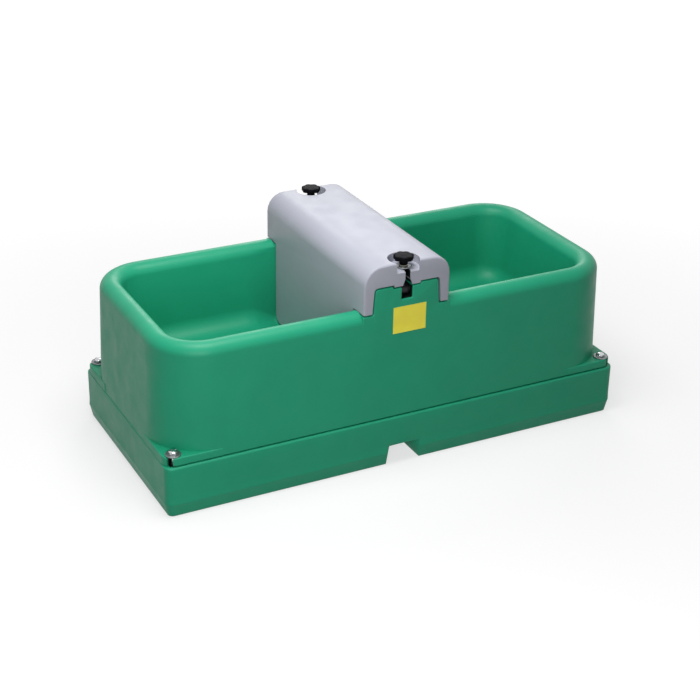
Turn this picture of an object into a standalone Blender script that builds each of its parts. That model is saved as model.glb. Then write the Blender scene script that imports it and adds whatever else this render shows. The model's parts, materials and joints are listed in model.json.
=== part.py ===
"""Livestock waterer: a two-bowl trough on a base, with a float valve under a clamped cover.

Metres, +Z up. The origin is the middle of the base's underside: +X runs along the trough's
length, and the side with the pocket nearest the viewer is -Y. Each function below makes one
piece or one set of like pieces, and everything is worked out from the named sizes.
"""

import math

import bpy
from mathutils import Vector

# Clearances
SEAT_GAP = 0.0003
COVER_CLEARANCE = 0.003
SKIRT_CLEARANCE = 0.005
SLOT_CLEARANCE = 0.001
CUT_PAST = 0.005

# Base: a closed moulding with a channel for the pipes across its underside
LENGTH = 1.000
WIDTH = 0.460
BASE_HEIGHT = 0.105
BASE_CORNER_RADIUS = 0.0165
BASE_BAND_HEIGHT = 0.0265
BASE_BAND_INSET = 0.0035
BASE_EDGE = 0.003
CHANNEL_WIDTH = 0.074
CHANNEL_TAPER = 0.0035
CHANNEL_HEIGHT = 0.043

# Trough: a closed double-walled moulding with a round rim
TROUGH_HEIGHT = 0.230
FOOT_INSET = 0.0015
TROUGH_CORNER_RADIUS = 0.110
WALL_DRAFT = 0.0085
RIM_WIDTH = 0.044
BASIN_DEPTH = 0.167
BASIN_DRAFT = 0.006
BASIN_FILLET = 0.035
BASIN_SKIN = 0.007
EAR_THICKNESS = 0.018
EAR_CORNER_RADIUS = 0.022
EAR_SLOT_WIDTH = 0.012

# Bay: the deeper middle of the basin, which the cover's skirts reach into
BAY_LENGTH = 0.196
BAY_RAMP = 0.055
BAY_DROP = 0.016
BAY_RADIUS = 0.020
BAY_RUN_OUT = 0.002

# Bolsters: the flat-faced humps in the rim that carry the cover
BOLSTER_WIDTH = 0.1888
BOLSTER_THICKNESS = 0.0416
FACE_INSET = 0.0094
LEDGE_DROP = 0.005
HUMP_HEIGHT = 0.052
HUMP_TOP_WIDTH = 0.136
HUMP_TAPER = 0.0035
HUMP_CORNER = 0.007
RECESS_WIDTH = 0.059
RECESS_DEPTH = 0.0045
POCKET_WIDTH = 0.023
POCKET_LENGTH = 0.033
POCKET_DEPTH = 0.029
BOSS_DIAMETER = 0.017

# Cover
COVER_WIDTH = 0.185
COVER_RISE = 0.093
COVER_SHOULDER = 0.038
COVER_EDGE = 0.004
COVER_SKIN = 0.008
SKIRT_CORNER = 0.018
PAD_LENGTH = 0.018
PAD_WIDTH = 0.024
KNOB_RECESS_RADIUS = 0.031
KNOB_RECESS_DEPTH = 0.0165
SLOT_FLARE_HEIGHT = 0.013

# Swing bolts, their knobs and washers
THREAD = 0.010
BOLT_SETBACK = 0.0198
PIVOT_DEPTH = 0.0175
EYE_DIAMETER = 0.020
EYE_WIDTH = 0.012
EYE_PIN_DIAMETER = 0.010
PIN_BEDDING = 0.012
BOLT_END = 0.017
BOLT_CHAMFER = 0.001
SHANK_ROOT = 0.006
WASHER_DIAMETER = 0.030
WASHER_THICKNESS = 0.0025
THRUST_DIAMETER = 0.018
THRUST_THICKNESS = 0.0015
KNOB_DIAMETER = 0.040
KNOB_LOBES = 7
KNOB_LOBE_DEPTH = 0.0022
KNOB_HUB_DIAMETER = 0.016
KNOB_HUB_HEIGHT = 0.010
KNOB_HEAD_HEIGHT = 0.0092
KNOB_FILLET = 0.0012
KNOB_CROWN = 0.003
KNOB_FORM = ((0.92, 0.0), (0.99, 0.12), (1.0, 0.60), (0.95, 0.84), (0.80, 0.94), (0.35, 1.0))
BUSH_WALL = 0.0012
BUSH_LENGTH = 0.0134

# Corner screws that hold the trough to the base
SCREW_X_INSET = 0.023
SCREW_Y_INSET = 0.021
SCREW_HEAD_ACROSS = 0.017
SCREW_HEAD_HEIGHT = 0.0065
SCREW_HEAD_FORM = ((1.0, 0.0), (1.0, 0.55), (0.48, 0.75), (0.30, 1.0))
SCREW_LENGTH = 0.036
SCREW_HOLE_PAST = 0.009
INSERT_LENGTH = 0.024
INSERT_WALL = 0.0018

# Supply line: pipe in the channel, fitting in the basin floor, standpipe and elbow
SUPPLY_INSET = 0.054
PIPE_DIAMETER = 0.0213
PIPE_BORE = 0.016
HOSE_DIAMETER = 0.020
HOSE_BORE = 0.0150
HOSE_BEND = 0.030
HOSE_HEIGHT = 0.018
HOSE_END_INSET = 0.022
FITTING_DIAMETER = 0.026
FITTING_FLANGE = 0.040
FITTING_SHOULDER = 0.004
FITTING_TAIL = 0.024
BARB_WALL = 0.002
FLANGE_THICKNESS = 0.006
GASKET_THICKNESS = 0.002
NUT_THICKNESS = 0.010
SUPPLY_NUT_ACROSS = 0.038
NUT_CHAMFER = 0.06
SOCKET_WALL = 0.004
SOCKET_DEPTH = 0.014
ELBOW_BEND = 0.016
FITTING_RECESS = 0.068
CLAMP_WIDTH = 0.009
CLAMP_WALL = 0.0012
CLAMP_INSET = 0.006

# Float valve
VALVE_RISE = 0.005
BARREL_DIAMETER = 0.026
PISTON_DIAMETER = 0.014
PISTON_LENGTH = 0.028
PISTON_SLOT_PLACE = 0.0126
PISTON_SLOT_ROOM = 0.001
VALVE_BARREL_LENGTH = 0.058
VALVE_HEX_LENGTH = 0.008
VALVE_HEX_ACROSS = 0.0286
VALVE_WALL = 0.005
WINDOW_INSET = 0.005
WATERWAY = 0.010
NOZZLE_LENGTH = 0.006
NOZZLE_LIP = 0.0015
NOZZLE_BORE = 0.005
NOZZLE_LIP_DIAMETER = 0.0085
SEAL_THICKNESS = 0.003
SEAL_DIAMETER = 0.012
LEVER_LENGTH = 0.017
LEVER_SWING = 24.0
LEVER_WIDTH = 0.005
LEVER_TIP_DIAMETER = 0.0062
LEVER_NECK = 0.003
LEVER_TIP_ROOT = 0.0025
LEVER_PIN_DIAMETER = 0.005
LEVER_HUB_DIAMETER = 0.012
EAR_PLATE = 0.004
EAR_PLATE_RADIUS = 0.0075
EAR_PLATE_ROOT = 0.010
LEVER_CLEARANCE = 0.0015
PIN_OVERHANG = 0.001
ARM_DIAMETER = 0.008
ARM_INSET = 0.067
ARM_DROOP = 8.0
ARM_BEND = 0.014
ARM_ROOT = 0.0036
STUD_END = 0.006
FLOAT_DIAMETER = 0.100
FLOAT_HEIGHT = 0.056
FLOAT_EDGE = 0.014
FLOAT_NUT_ACROSS = 0.014
FLOAT_NUT_THICKNESS = 0.006

# Drain
DRAIN_INSET = 0.044
DRAIN_TUBE_DIAMETER = 0.028
DRAIN_BORE = 0.022
DRAIN_FLANGE = 0.044
DRAIN_PIPE_DIAMETER = 0.036
DRAIN_TAIL = 0.018
PLUG_CAP_DIAMETER = 0.030
PLUG_LENGTH = 0.014
PLUG_GRIP_HEIGHT = 0.024
PLUG_GRIP_DIAMETER = 0.013
PLUG_TAPER = 0.0011
PLUG_NECK = 0.006

# Levels worked out from the sizes above
TROUGH_FOOT = BASE_HEIGHT + SEAT_GAP
RIM_TOP = BASE_HEIGHT + TROUGH_HEIGHT
RIM_RADIUS = RIM_WIDTH / 2
RIM_CENTRE = RIM_TOP - RIM_RADIUS
BASIN_FLOOR = RIM_TOP - BASIN_DEPTH
BAY_FLOOR = BASIN_FLOOR - BAY_DROP
FACE_Y = WIDTH / 2 - FACE_INSET
BAY_HALF_WIDTH = FACE_Y - BOLSTER_THICKNESS
SUPPLY_Y = BAY_HALF_WIDTH - SUPPLY_INSET
DRAIN_Y = DRAIN_INSET - BAY_HALF_WIDTH
ARM_REACH = BAY_HALF_WIDTH - ARM_INSET
LEDGE = RIM_TOP - LEDGE_DROP
HUMP_TOP = LEDGE + HUMP_HEIGHT
COVER_TOP = RIM_TOP + COVER_RISE
SKIRT_BOTTOM = BAY_FLOOR + SKIRT_CLEARANCE
SKIRT_HALF_LENGTH = BAY_HALF_WIDTH - COVER_CLEARANCE
BOLT_Y = FACE_Y - BOLT_SETBACK
PIVOT_Z = HUMP_TOP - PIVOT_DEPTH
WASHER_SEAT = COVER_TOP - KNOB_RECESS_DEPTH
SEAT_RADIUS = WASHER_SEAT - PIVOT_Z
SCREW_X = LENGTH / 2 - SCREW_X_INSET
SCREW_Y = WIDTH / 2 - SCREW_Y_INSET
EAR_TOP = TROUGH_FOOT + EAR_THICKNESS
VALVE_Z = RIM_TOP + VALVE_RISE
LEVER_HALF_SWING = math.radians(LEVER_SWING / 2)
PISTON_TRAVEL = 2 * LEVER_LENGTH * math.sin(LEVER_HALF_SWING)

# How finely round shapes are faceted
CORNER_STEPS = 8
BASE_CORNER_STEPS = 4
EDGE_STEPS = 3
SLOT_STEPS = 8
RIM_STEPS = 8
FILLET_STEPS = 5
SHOULDER_STEPS = 6
BEND_STEPS = 5
TURNED_STEPS = 16
ROD_STEPS = 12
HEX_STEPS = 24
SMALL_HEX_STEPS = 12
LARGE_STEPS = 28
LOBE_STEPS = 6


def clear_scene():
    for item in list(bpy.data.objects):
        bpy.data.objects.remove(item, do_unlink=True)


def finish_material(name, colour, roughness, metallic=0.0):
    """Principled material; colour is linear red, green and blue."""
    material = bpy.data.materials.new(name)
    material.use_nodes = True
    shader = material.node_tree.nodes["Principled BSDF"]
    shader.inputs["Base Color"].default_value = (*colour, 1.0)
    shader.inputs["Roughness"].default_value = roughness
    shader.inputs["Metallic"].default_value = metallic
    return material


def add_object(name, points, faces, material=None, location=(0, 0, 0), rotation=(0, 0, 0)):
    mesh = bpy.data.meshes.new(name)
    mesh.from_pydata([tuple(point) for point in points], [], faces)
    mesh.update()
    item = bpy.data.objects.new(name, mesh)
    bpy.context.scene.collection.objects.link(item)
    item.location = location
    item.rotation_euler = rotation
    if material:
        mesh.materials.append(material)
    return item


def loft(rings, closed=False):
    """Skin over equal rings of points. Ends are capped, or joined to each other when closed."""
    count = len(rings[0])
    points = [point for ring in rings for point in ring]
    faces = []
    bands = len(rings) if closed else len(rings) - 1
    for band in range(bands):
        low = band * count
        high = ((band + 1) % len(rings)) * count
        for step in range(count):
            after = (step + 1) % count
            faces.append((low + step, low + after, high + after, high + step))
    if not closed:
        faces.append(tuple(reversed(range(count))))
        faces.append(tuple(range(len(points) - count, len(points))))
    return points, faces


def arc(centre, radius, start, end, steps):
    """Points on a circle from one angle to another, in degrees."""
    angles = [math.radians(start + (end - start) * step / steps) for step in range(steps + 1)]
    return [(centre[0] + radius * math.cos(a), centre[1] + radius * math.sin(a)) for a in angles]


def circle_ring(radius, height, steps):
    turn = 2 * math.pi / steps
    return [(radius * math.cos(turn * k), radius * math.sin(turn * k), height) for k in range(steps)]


def turned(name, outline, material=None, steps=TURNED_STEPS, hollow=False, **place):
    """Solid of revolution about Z from (radius, height) points, bottom to top on the outside."""
    rings = [circle_ring(radius, height, steps) for radius, height in outline]
    points, faces = loft(rings, closed=hollow)
    return add_object(name, points, faces, material, **place)


def sleeve(name, outer, bore, low, high, material, steps=TURNED_STEPS, **place):
    """Plain tube about Z, from its diameters and its two end heights."""
    outline = [(outer / 2, low), (outer / 2, high), (bore / 2, high), (bore / 2, low)]
    return turned(name, outline, material, steps, hollow=True, **place)


def hex_ring(across, limit, height, steps=HEX_STEPS):
    """Hexagon of a width across flats, cut back to a limiting radius at its corners."""
    ring = []
    for step in range(steps):
        angle = 2 * math.pi * step / steps
        folded = (angle % (math.pi / 3)) - math.pi / 6
        radius = min(across / 2 / math.cos(folded), limit)
        ring.append((radius * math.cos(angle), radius * math.sin(angle), height))
    return ring


def hex_nut(name, across, bore, low, high, material, steps=HEX_STEPS, **place):
    """Nut: a hexagon with its corners chamfered, round a plain bore."""
    chamfer = NUT_CHAMFER * across
    rings = [hex_ring(across, across / 2, low, steps), hex_ring(across, across, low + chamfer, steps)]
    rings += [hex_ring(across, across, high - chamfer, steps), hex_ring(across, across / 2, high, steps)]
    rings += [circle_ring(bore / 2, high, steps), circle_ring(bore / 2, low, steps)]
    return add_object(name, *loft(rings, closed=True), material, **place)


def prism(name, outline, axis, low, high, material=None, **place):
    """Flat outline carried along one axis. An X prism has a YZ outline, and a Y prism an XZ one."""
    if axis == "X":
        rings = [[(depth, u, v) for u, v in outline] for depth in (low, high)]
    elif axis == "Y":
        rings = [[(u, depth, v) for u, v in outline] for depth in (high, low)]
    else:
        rings = [[(u, v, depth) for u, v in outline] for depth in (low, high)]
    points, faces = loft(rings)
    return add_object(name, points, faces, material, **place)


def block(name, low, high):
    """Box between two corners."""
    outline = [(low[0], low[1]), (high[0], low[1]), (high[0], high[1]), (low[0], high[1])]
    return prism(name, outline, "Z", low[2], high[2])


def rounded_rectangle(half_x, half_y, radius, height, steps=CORNER_STEPS):
    ring = []
    for quarter, (side_x, side_y) in enumerate(((1, 1), (-1, 1), (-1, -1), (1, -1))):
        centre = (side_x * (half_x - radius), side_y * (half_y - radius))
        ring += arc(centre, radius, 90 * quarter, 90 * quarter + 90, steps)
    return [(x, y, height) for x, y in ring]


def combine(target, other, operation):
    """Boolean between two objects. The second becomes a hidden guide."""
    modifier = target.modifiers.new(other.name, "BOOLEAN")
    modifier.operation = operation
    modifier.solver = "EXACT"
    modifier.object = other
    other.hide_render = True
    other.display_type = "WIRE"


def cut(target, other):
    combine(target, other, "DIFFERENCE")


def join(target, other):
    combine(target, other, "UNION")


def shade_round(item, angle=35):
    """Smooth shading that keeps the edges of a machined or moulded piece crisp."""
    item.data.shade_smooth()
    item.data.set_sharp_from_angle(angle=math.radians(angle))


def cylinder(name, radius, low, high, axis="Z", centre=(0, 0, 0), steps=TURNED_STEPS):
    """Plain cylinder along an axis, used as a cutter or as part of a larger piece."""
    turns = {"Z": (0, 0, 0), "X": (0, math.pi / 2, 0), "Y": (-math.pi / 2, 0, 0)}
    outline = [(radius, low), (radius, high)]
    return turned(name, outline, None, steps, location=centre, rotation=turns[axis])


class Path:
    """Line in the YZ plane made of straight stretches and round bends."""

    def __init__(self, start, heading):
        self.points = [Vector((0, *start))]
        self.headings = [heading]

    def straight(self, length):
        direction = self.direction(self.headings[-1])
        self.points.append(self.points[-1] + direction * length)
        self.headings.append(self.headings[-1])
        return self

    def bend(self, radius, turn, steps=BEND_STEPS):
        """Turn by an angle in degrees, positive from +Y towards +Z."""
        for _ in range(steps):
            heading = self.headings[-1]
            after = heading + turn / steps
            chord = 2 * radius * math.sin(math.radians(abs(turn) / steps / 2))
            self.points.append(self.points[-1] + self.direction((heading + after) / 2) * chord)
            self.headings.append(after)
        return self

    @staticmethod
    def direction(heading):
        angle = math.radians(heading)
        return Vector((0, math.cos(angle), math.sin(angle)))

    def ring(self, index, radius, steps):
        across = self.direction(self.headings[index] + 90)
        side = Vector((1, 0, 0))
        ring = []
        for step in range(steps):
            angle = 2 * math.pi * step / steps
            offset = across * math.sin(angle) - side * math.cos(angle)
            ring.append(self.points[index] + offset * radius)
        return ring


def swept_rings(path, radius, steps, stations=None):
    stations = range(len(path.points)) if stations is None else stations
    return [path.ring(index, radius, steps) for index in stations]


def base_section():
    """Offsets inwards from the base's plan, with their heights."""
    edge = [(BASE_EDGE - dx, BASE_HEIGHT - BASE_EDGE + dz)
            for dx, dz in arc((0, 0), BASE_EDGE, 0, 90, EDGE_STEPS)]
    return [(BASE_BAND_INSET, 0), (0, BASE_BAND_HEIGHT)] + edge


def make_base(material):
    rings = []
    for inset, height in base_section():
        plan = (LENGTH / 2 - inset, WIDTH / 2 - inset, BASE_CORNER_RADIUS - inset)
        rings.append(rounded_rectangle(*plan, height, BASE_CORNER_STEPS))
    base = add_object("base", *loft(rings), material)
    half = CHANNEL_WIDTH / 2
    outline = [(-half, -CUT_PAST), (half, -CUT_PAST), (half, 0)]
    outline += [(half - CHANNEL_TAPER, CHANNEL_HEIGHT), (CHANNEL_TAPER - half, CHANNEL_HEIGHT), (-half, 0)]
    cut(base, prism("channel_cutter", outline, "Y", -WIDTH, WIDTH))
    top = BASE_HEIGHT + CUT_PAST
    supply_hole = HOSE_DIAMETER / 2 + COVER_CLEARANCE
    drain_hole = DRAIN_PIPE_DIAMETER / 2 + SEAT_GAP
    for place, radius in ((SUPPLY_Y, supply_hole), (DRAIN_Y, drain_hole)):
        cut(base, cylinder("passage_cutter", radius, CHANNEL_HEIGHT / 2, top, centre=(0, place, 0)))
    hole = THREAD / 2 + SEAT_GAP * 2 + INSERT_WALL
    bottom = BASE_HEIGHT - INSERT_LENGTH - SCREW_HOLE_PAST
    for x, y in corner_places():
        cut(base, cylinder("insert_cutter", hole, bottom, top, centre=(x, y, 0)))
    shade_round(base)
    return base


def corner_places():
    return [(sx * SCREW_X, sy * SCREW_Y) for sx, sy in ((-1, -1), (1, -1), (1, 1), (-1, 1))]


def wall_inset(height):
    """How far the drafted outer wall stands in from the foot at a height."""
    return WALL_DRAFT * (height - TROUGH_FOOT) / (RIM_CENTRE - TROUGH_FOOT)


def trough_ring(inset, height):
    radius = TROUGH_CORNER_RADIUS - inset
    inset += FOOT_INSET
    return rounded_rectangle(LENGTH / 2 - inset, WIDTH / 2 - inset, radius, height)


def trough_section():
    """Section of the moulding: up the outer wall, over the round rim, down into the basin."""
    rim_centre = WALL_DRAFT + RIM_RADIUS
    section = [(0, TROUGH_FOOT)]
    section += arc((rim_centre, RIM_CENTRE), RIM_RADIUS, 180, 0, RIM_STEPS)
    fillet_centre = (WALL_DRAFT + RIM_WIDTH + BASIN_DRAFT + BASIN_FILLET, BASIN_FLOOR + BASIN_FILLET)
    section += arc(fillet_centre, BASIN_FILLET, 180, 270, FILLET_STEPS)
    return section


def bay_outline(half_width, floor, radius, top):
    """U-shaped outline in Y and Z, anticlockwise seen from +X."""
    outline = arc((-half_width + radius, floor + radius), radius, 180, 270, FILLET_STEPS)
    outline += arc((half_width - radius, floor + radius), radius, 270, 360, FILLET_STEPS)
    return [(-half_width, top)] + outline + [(half_width, top)]


def bay_cutter():
    """Straight middle that fits the cover, with ramps that run out into both bowls."""
    top = HUMP_TOP + COVER_CLEARANCE
    middle = bay_outline(BAY_HALF_WIDTH, BAY_FLOOR, BAY_RADIUS, top)
    basin_half = WIDTH / 2 - FOOT_INSET - WALL_DRAFT - RIM_WIDTH - BASIN_DRAFT
    fillet = BASIN_FILLET + BAY_RUN_OUT * 2
    run_out = bay_outline(basin_half - BAY_RUN_OUT, BASIN_FLOOR + BAY_RUN_OUT, fillet, top)
    half = BAY_LENGTH / 2
    stations = ((-half - BAY_RAMP, run_out), (-half, middle), (half, middle), (half + BAY_RAMP, run_out))
    rings = [[(depth, y, z) for y, z in outline] for depth, outline in stations]
    return add_object("bay_cutter", *loft(rings))


def hump_outline(grow=0.0):
    """Top of a bolster in X and Z from the ledge up: the hump with its shallow recess."""
    foot = HUMP_TOP_WIDTH / 2 + HUMP_TAPER + grow
    top = HUMP_TOP_WIDTH / 2 + grow
    recess = RECESS_WIDTH / 2 - grow / 2
    height = HUMP_TOP + grow
    radius = HUMP_CORNER
    corner = arc((top - radius, height - radius), radius, 0, 90, EDGE_STEPS)
    right = [(foot, LEDGE + grow)] + corner
    right += [(recess, height), (recess, height - RECESS_DEPTH)]
    left = [(-x, z) for x, z in reversed(right)]
    return right + left


def make_bolster(side):
    low = RIM_CENTRE - RIM_RADIUS
    half = BOLSTER_WIDTH / 2
    outline = [(-half, low), (half, low), (half, LEDGE)] + hump_outline() + [(-half, LEDGE)]
    inner, outer = BAY_HALF_WIDTH - RIM_RADIUS / 2, FACE_Y
    span = (inner, outer) if side > 0 else (-outer, -inner)
    return prism("bolster_guide", outline, "Y", *span)


def make_trough(material):
    trough = add_object("trough", *loft([trough_ring(*point) for point in trough_section()]), material)
    rim_notch = LEDGE - SEAT_GAP
    for side in (-1, 1):
        near, far = sorted((side * (BAY_HALF_WIDTH - RIM_RADIUS), side * WIDTH / 2))
        low = (-BOLSTER_WIDTH / 2 - SEAT_GAP, near, rim_notch)
        cut(trough, block("rim_cutter", low, (-low[0], far, RIM_TOP + RIM_RADIUS)))
        join(trough, make_bolster(side))
    ears = []
    for height in (TROUGH_FOOT, EAR_TOP):
        inset = FOOT_INSET + wall_inset(height) + SEAT_GAP / 2
        plan = (LENGTH / 2 - inset, WIDTH / 2 - inset, EAR_CORNER_RADIUS)
        ears.append(rounded_rectangle(*plan, height, BASE_CORNER_STEPS))
    ears[0] = [(x, y, TROUGH_FOOT + SEAT_GAP / 2) for x, y, _ in ears[0]]
    join(trough, add_object("ear_guide", *loft(ears)))
    cut(trough, bay_cutter())
    cut_bolt_pockets(trough)
    cut_floor_holes(trough)
    cut_ear_slots(trough)
    shade_round(trough)
    return trough


def cut_bolt_pockets(trough):
    """Pocket for each swing bolt, with a boss on each cheek and the pin's bed through both."""
    cheek = POCKET_WIDTH / 2
    boss_face = EYE_WIDTH / 2 + SEAT_GAP
    for side in (-1, 1):
        near, far = sorted((side * (FACE_Y - POCKET_LENGTH), side * (FACE_Y + COVER_CLEARANCE)))
        pocket = block("pocket_cutter", (-cheek, near, HUMP_TOP - POCKET_DEPTH), (cheek, far, COVER_TOP))
        cut(trough, pocket)
        centre = (0, side * BOLT_Y, PIVOT_Z)
        for low, high in ((boss_face, cheek + SEAT_GAP), (-cheek - SEAT_GAP, -boss_face)):
            join(trough, cylinder("boss_guide", BOSS_DIAMETER / 2, low, high, "X", centre))
        bed = cheek + PIN_BEDDING + SEAT_GAP
        cut(trough, cylinder("pin_cutter", EYE_PIN_DIAMETER / 2 + SEAT_GAP, -bed, bed, "X", centre))


def cut_floor_holes(trough):
    """Holes for the supply and drain fittings, each in a recess that leaves a single skin."""
    for place, radius in ((SUPPLY_Y, FITTING_DIAMETER / 2), (DRAIN_Y, DRAIN_TUBE_DIAMETER / 2)):
        centre = (0, place, 0)
        cut(trough, cylinder("fitting_cutter", radius + SEAT_GAP, BASE_HEIGHT, BASIN_FLOOR, centre=centre))
        skin = BAY_FLOOR - BASIN_SKIN
        recess = (FITTING_RECESS / 2, BASE_HEIGHT, skin)
        cut(trough, cylinder("recess_cutter", *recess, centre=centre, steps=LARGE_STEPS))


def cut_ear_slots(trough):
    """Slot for each corner screw, open towards the corner."""
    half = EAR_SLOT_WIDTH / 2
    reach = SCREW_X_INSET * 2
    for x, y in corner_places():
        outline = arc((0, 0), half, 90, 270, SLOT_STEPS) + [(reach, -half), (reach, half)]
        turn = math.atan2(math.copysign(1, y), math.copysign(1, x))
        low, high = BASE_HEIGHT - SEAT_GAP, EAR_TOP + SEAT_GAP
        slot = prism("ear_slot_cutter", outline, "Z", low, high, location=(x, y, 0), rotation=(0, 0, turn))
        cut(trough, slot)


def make_corner_fixings(steel, brass):
    washer_top = EAR_TOP + SEAT_GAP + WASHER_THICKNESS
    for (x, y), corner in zip(corner_places(), ("front_left", "front_right", "rear_right", "rear_left")):
        place = {"location": (x, y, 0)}
        bore = THREAD + SEAT_GAP * 2
        span = (EAR_TOP + SEAT_GAP, washer_top)
        washer = sleeve(f"corner_washer_{corner}", WASHER_DIAMETER, bore, *span, steel, **place)
        span = (BASE_HEIGHT - INSERT_LENGTH, BASE_HEIGHT - SEAT_GAP)
        insert = sleeve(f"corner_insert_{corner}", bore + INSERT_WALL * 2, bore, *span, brass, **place)
        head = washer_top + SEAT_GAP
        steps = SMALL_HEX_STEPS
        rings = [circle_ring(THREAD / 2, head - SCREW_LENGTH, steps), circle_ring(THREAD / 2, head, steps)]
        across = SCREW_HEAD_ACROSS
        rings += [hex_ring(across, across * share, head + SCREW_HEAD_HEIGHT * rise, steps)
                  for share, rise in SCREW_HEAD_FORM]
        screw = add_object(f"corner_screw_{corner}", *loft(rings), steel, **place)
        for item in (washer, insert, screw):
            shade_round(item)


def cover_outline(grow=0.0):
    """Section of the cover's outside in X and Z: straight sides and round shoulders."""
    half = COVER_WIDTH / 2 + grow
    top = COVER_TOP + grow
    radius = COVER_SHOULDER + grow
    shoulder = arc((half - radius, top - radius), radius, 0, 90, SHOULDER_STEPS)
    left = [(-x, z) for x, z in reversed(shoulder)]
    low = SKIRT_BOTTOM - SKIRT_CLEARANCE
    return [(half, low)] + shoulder + left + [(-half, low)]


def cover_side_outline():
    """Side view of the cover in Y and Z: short ends over the rim and a skirt between them."""
    end = FACE_Y + COVER_CLEARANCE
    skirt = SKIRT_HALF_LENGTH
    corner = arc((skirt - SKIRT_CORNER, SKIRT_BOTTOM + SKIRT_CORNER), SKIRT_CORNER, 270, 360, FILLET_STEPS)
    low = LEDGE + COVER_CLEARANCE
    right = corner + [(skirt, low), (end, low), (end, COVER_TOP + COVER_CLEARANCE)]
    left = [(-y, z) for y, z in reversed(right)]
    return right + left


def make_cover(material):
    rings = []
    for side in (1, -1):
        edge = arc((0, 0), COVER_EDGE, 90, 0, EDGE_STEPS)
        edge = edge if side > 0 else list(reversed(edge))
        for out, back in edge:
            depth = side * (FACE_Y - COVER_EDGE + back)
            rings.append([(x, depth, z) for x, z in cover_outline(out - COVER_EDGE)])
    cover = add_object("cover", *loft(rings), material)
    half = COVER_WIDTH
    combine(cover, prism("cover_side_guide", cover_side_outline(), "X", -half, half), "INTERSECT")
    cut_cover_inside(cover)
    for side in (-1, 1):
        cut_knob_seat(cover, side)
    shade_round(cover)
    return cover


def cut_cover_inside(cover):
    """Room for the valve, and the arch that straddles each hump and rests on it by pads."""
    half = COVER_WIDTH / 2 - COVER_SKIN
    top = COVER_TOP - COVER_SKIN
    radius = COVER_SHOULDER - COVER_SKIN
    shoulder = arc((half - radius, top - radius), radius, 0, 90, SHOULDER_STEPS)
    low = SKIRT_BOTTOM - 2 * SKIRT_CLEARANCE
    outline = [(half, low)] + shoulder + [(-x, z) for x, z in reversed(shoulder)] + [(-half, low)]
    end = SKIRT_HALF_LENGTH - COVER_SKIN
    cut(cover, prism("room_cutter", outline, "Y", -end, end))
    arch = hump_outline(COVER_CLEARANCE)
    arch = [(arch[0][0], low)] + arch + [(arch[-1][0], low)]
    arch_cutter = prism("arch_cutter", arch, "Y", -WIDTH, WIDTH)
    middle = FACE_Y - BOLT_SETBACK
    for side in (-1, 1):
        near, far = sorted((side * (middle - PAD_LENGTH), side * middle))
        inner = RECESS_WIDTH / 2 + HUMP_CORNER / 2
        for x in (-1, 1):
            first, last = sorted((x * inner, x * (inner + PAD_WIDTH)))
            pad = block("pad_guide", (first, near, HUMP_TOP + SEAT_GAP), (last, far, HUMP_TOP + COVER_SKIN))
            cut(arch_cutter, pad)
    cut(cover, arch_cutter)


def cut_knob_seat(cover, side):
    """Round recess for the knob. In front of the bolt its floor follows the washer's swing."""
    reach = KNOB_RECESS_RADIUS
    front = BOLT_SETBACK + COVER_CLEARANCE
    steps = [front * step / SLOT_STEPS for step in range(SLOT_STEPS + 1)]
    crown = [(u, PIVOT_Z + math.sqrt(SEAT_RADIUS ** 2 - u ** 2)) for u in steps]
    top = COVER_TOP + COVER_CLEARANCE
    back = -reach - CUT_PAST
    outline = [(back, WASHER_SEAT)] + crown + [(front, top), (back, top)]
    outline = [(side * (BOLT_Y + u), z) for u, z in outline]
    if side < 0:
        outline.reverse()
    seat = prism("seat_cutter", outline, "X", back, -back)
    wall = cylinder("seat_wall_guide", reach, PIVOT_Z, top + COVER_CLEARANCE,
                    centre=(0, side * BOLT_Y, 0), steps=LARGE_STEPS)
    combine(seat, wall, "INTERSECT")
    cut(cover, seat)
    half = (THREAD + SLOT_CLEARANCE) / 2
    out = side * (BOLT_SETBACK + COVER_CLEARANCE)
    start = 180 if side > 0 else 0
    slot = arc((0, side * BOLT_Y), half, start, start + 180, SLOT_STEPS)
    slot += [(slot[-1][0], side * BOLT_Y + out), (slot[0][0], side * BOLT_Y + out)]
    cut(cover, prism("slot_cutter", slot, "Z", LEDGE, COVER_TOP + COVER_CLEARANCE))
    low = HUMP_TOP - RECESS_DEPTH
    high = low + COVER_CLEARANCE + SLOT_FLARE_HEIGHT
    wide = POCKET_WIDTH / 2
    flare = [(-wide, low), (wide, low), (half, high), (-half, high)]
    span = sorted((side * (BOLT_Y - wide), side * (FACE_Y + COVER_CLEARANCE)))
    cut(cover, prism("flare_cutter", flare, "Y", *span))


def make_swing_bolt(side, word, plated, steel):
    """Eye bolt on its pin. The bolt's origin is the pin's axis."""
    pivot = (0, side * BOLT_Y, PIVOT_Z)
    half = EYE_WIDTH / 2
    eye = cylinder(f"swing_bolt_{word}", EYE_DIAMETER / 2, -half, half, "X")
    eye.data.transform(eye.matrix_basis)
    eye.data.materials.append(plated)
    eye.rotation_euler = (0, 0, 0)
    eye.location = pivot
    top = SEAT_RADIUS + BOLT_END
    radius = THREAD / 2
    outline = [(radius, SHANK_ROOT), (radius, top - BOLT_CHAMFER), (radius - BOLT_CHAMFER, top)]
    join(eye, turned("shank_guide", outline, location=pivot))
    bore = EYE_PIN_DIAMETER / 2 + SEAT_GAP
    cut(eye, cylinder("eye_cutter", bore, -half - CUT_PAST, half + CUT_PAST, "X", pivot))
    shade_round(eye)
    reach = POCKET_WIDTH / 2 + PIN_BEDDING
    pin = cylinder(f"swing_pin_{word}", EYE_PIN_DIAMETER / 2, -reach, reach, "X", pivot)
    pin.data.materials.append(steel)
    shade_round(pin)
    return eye


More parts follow.
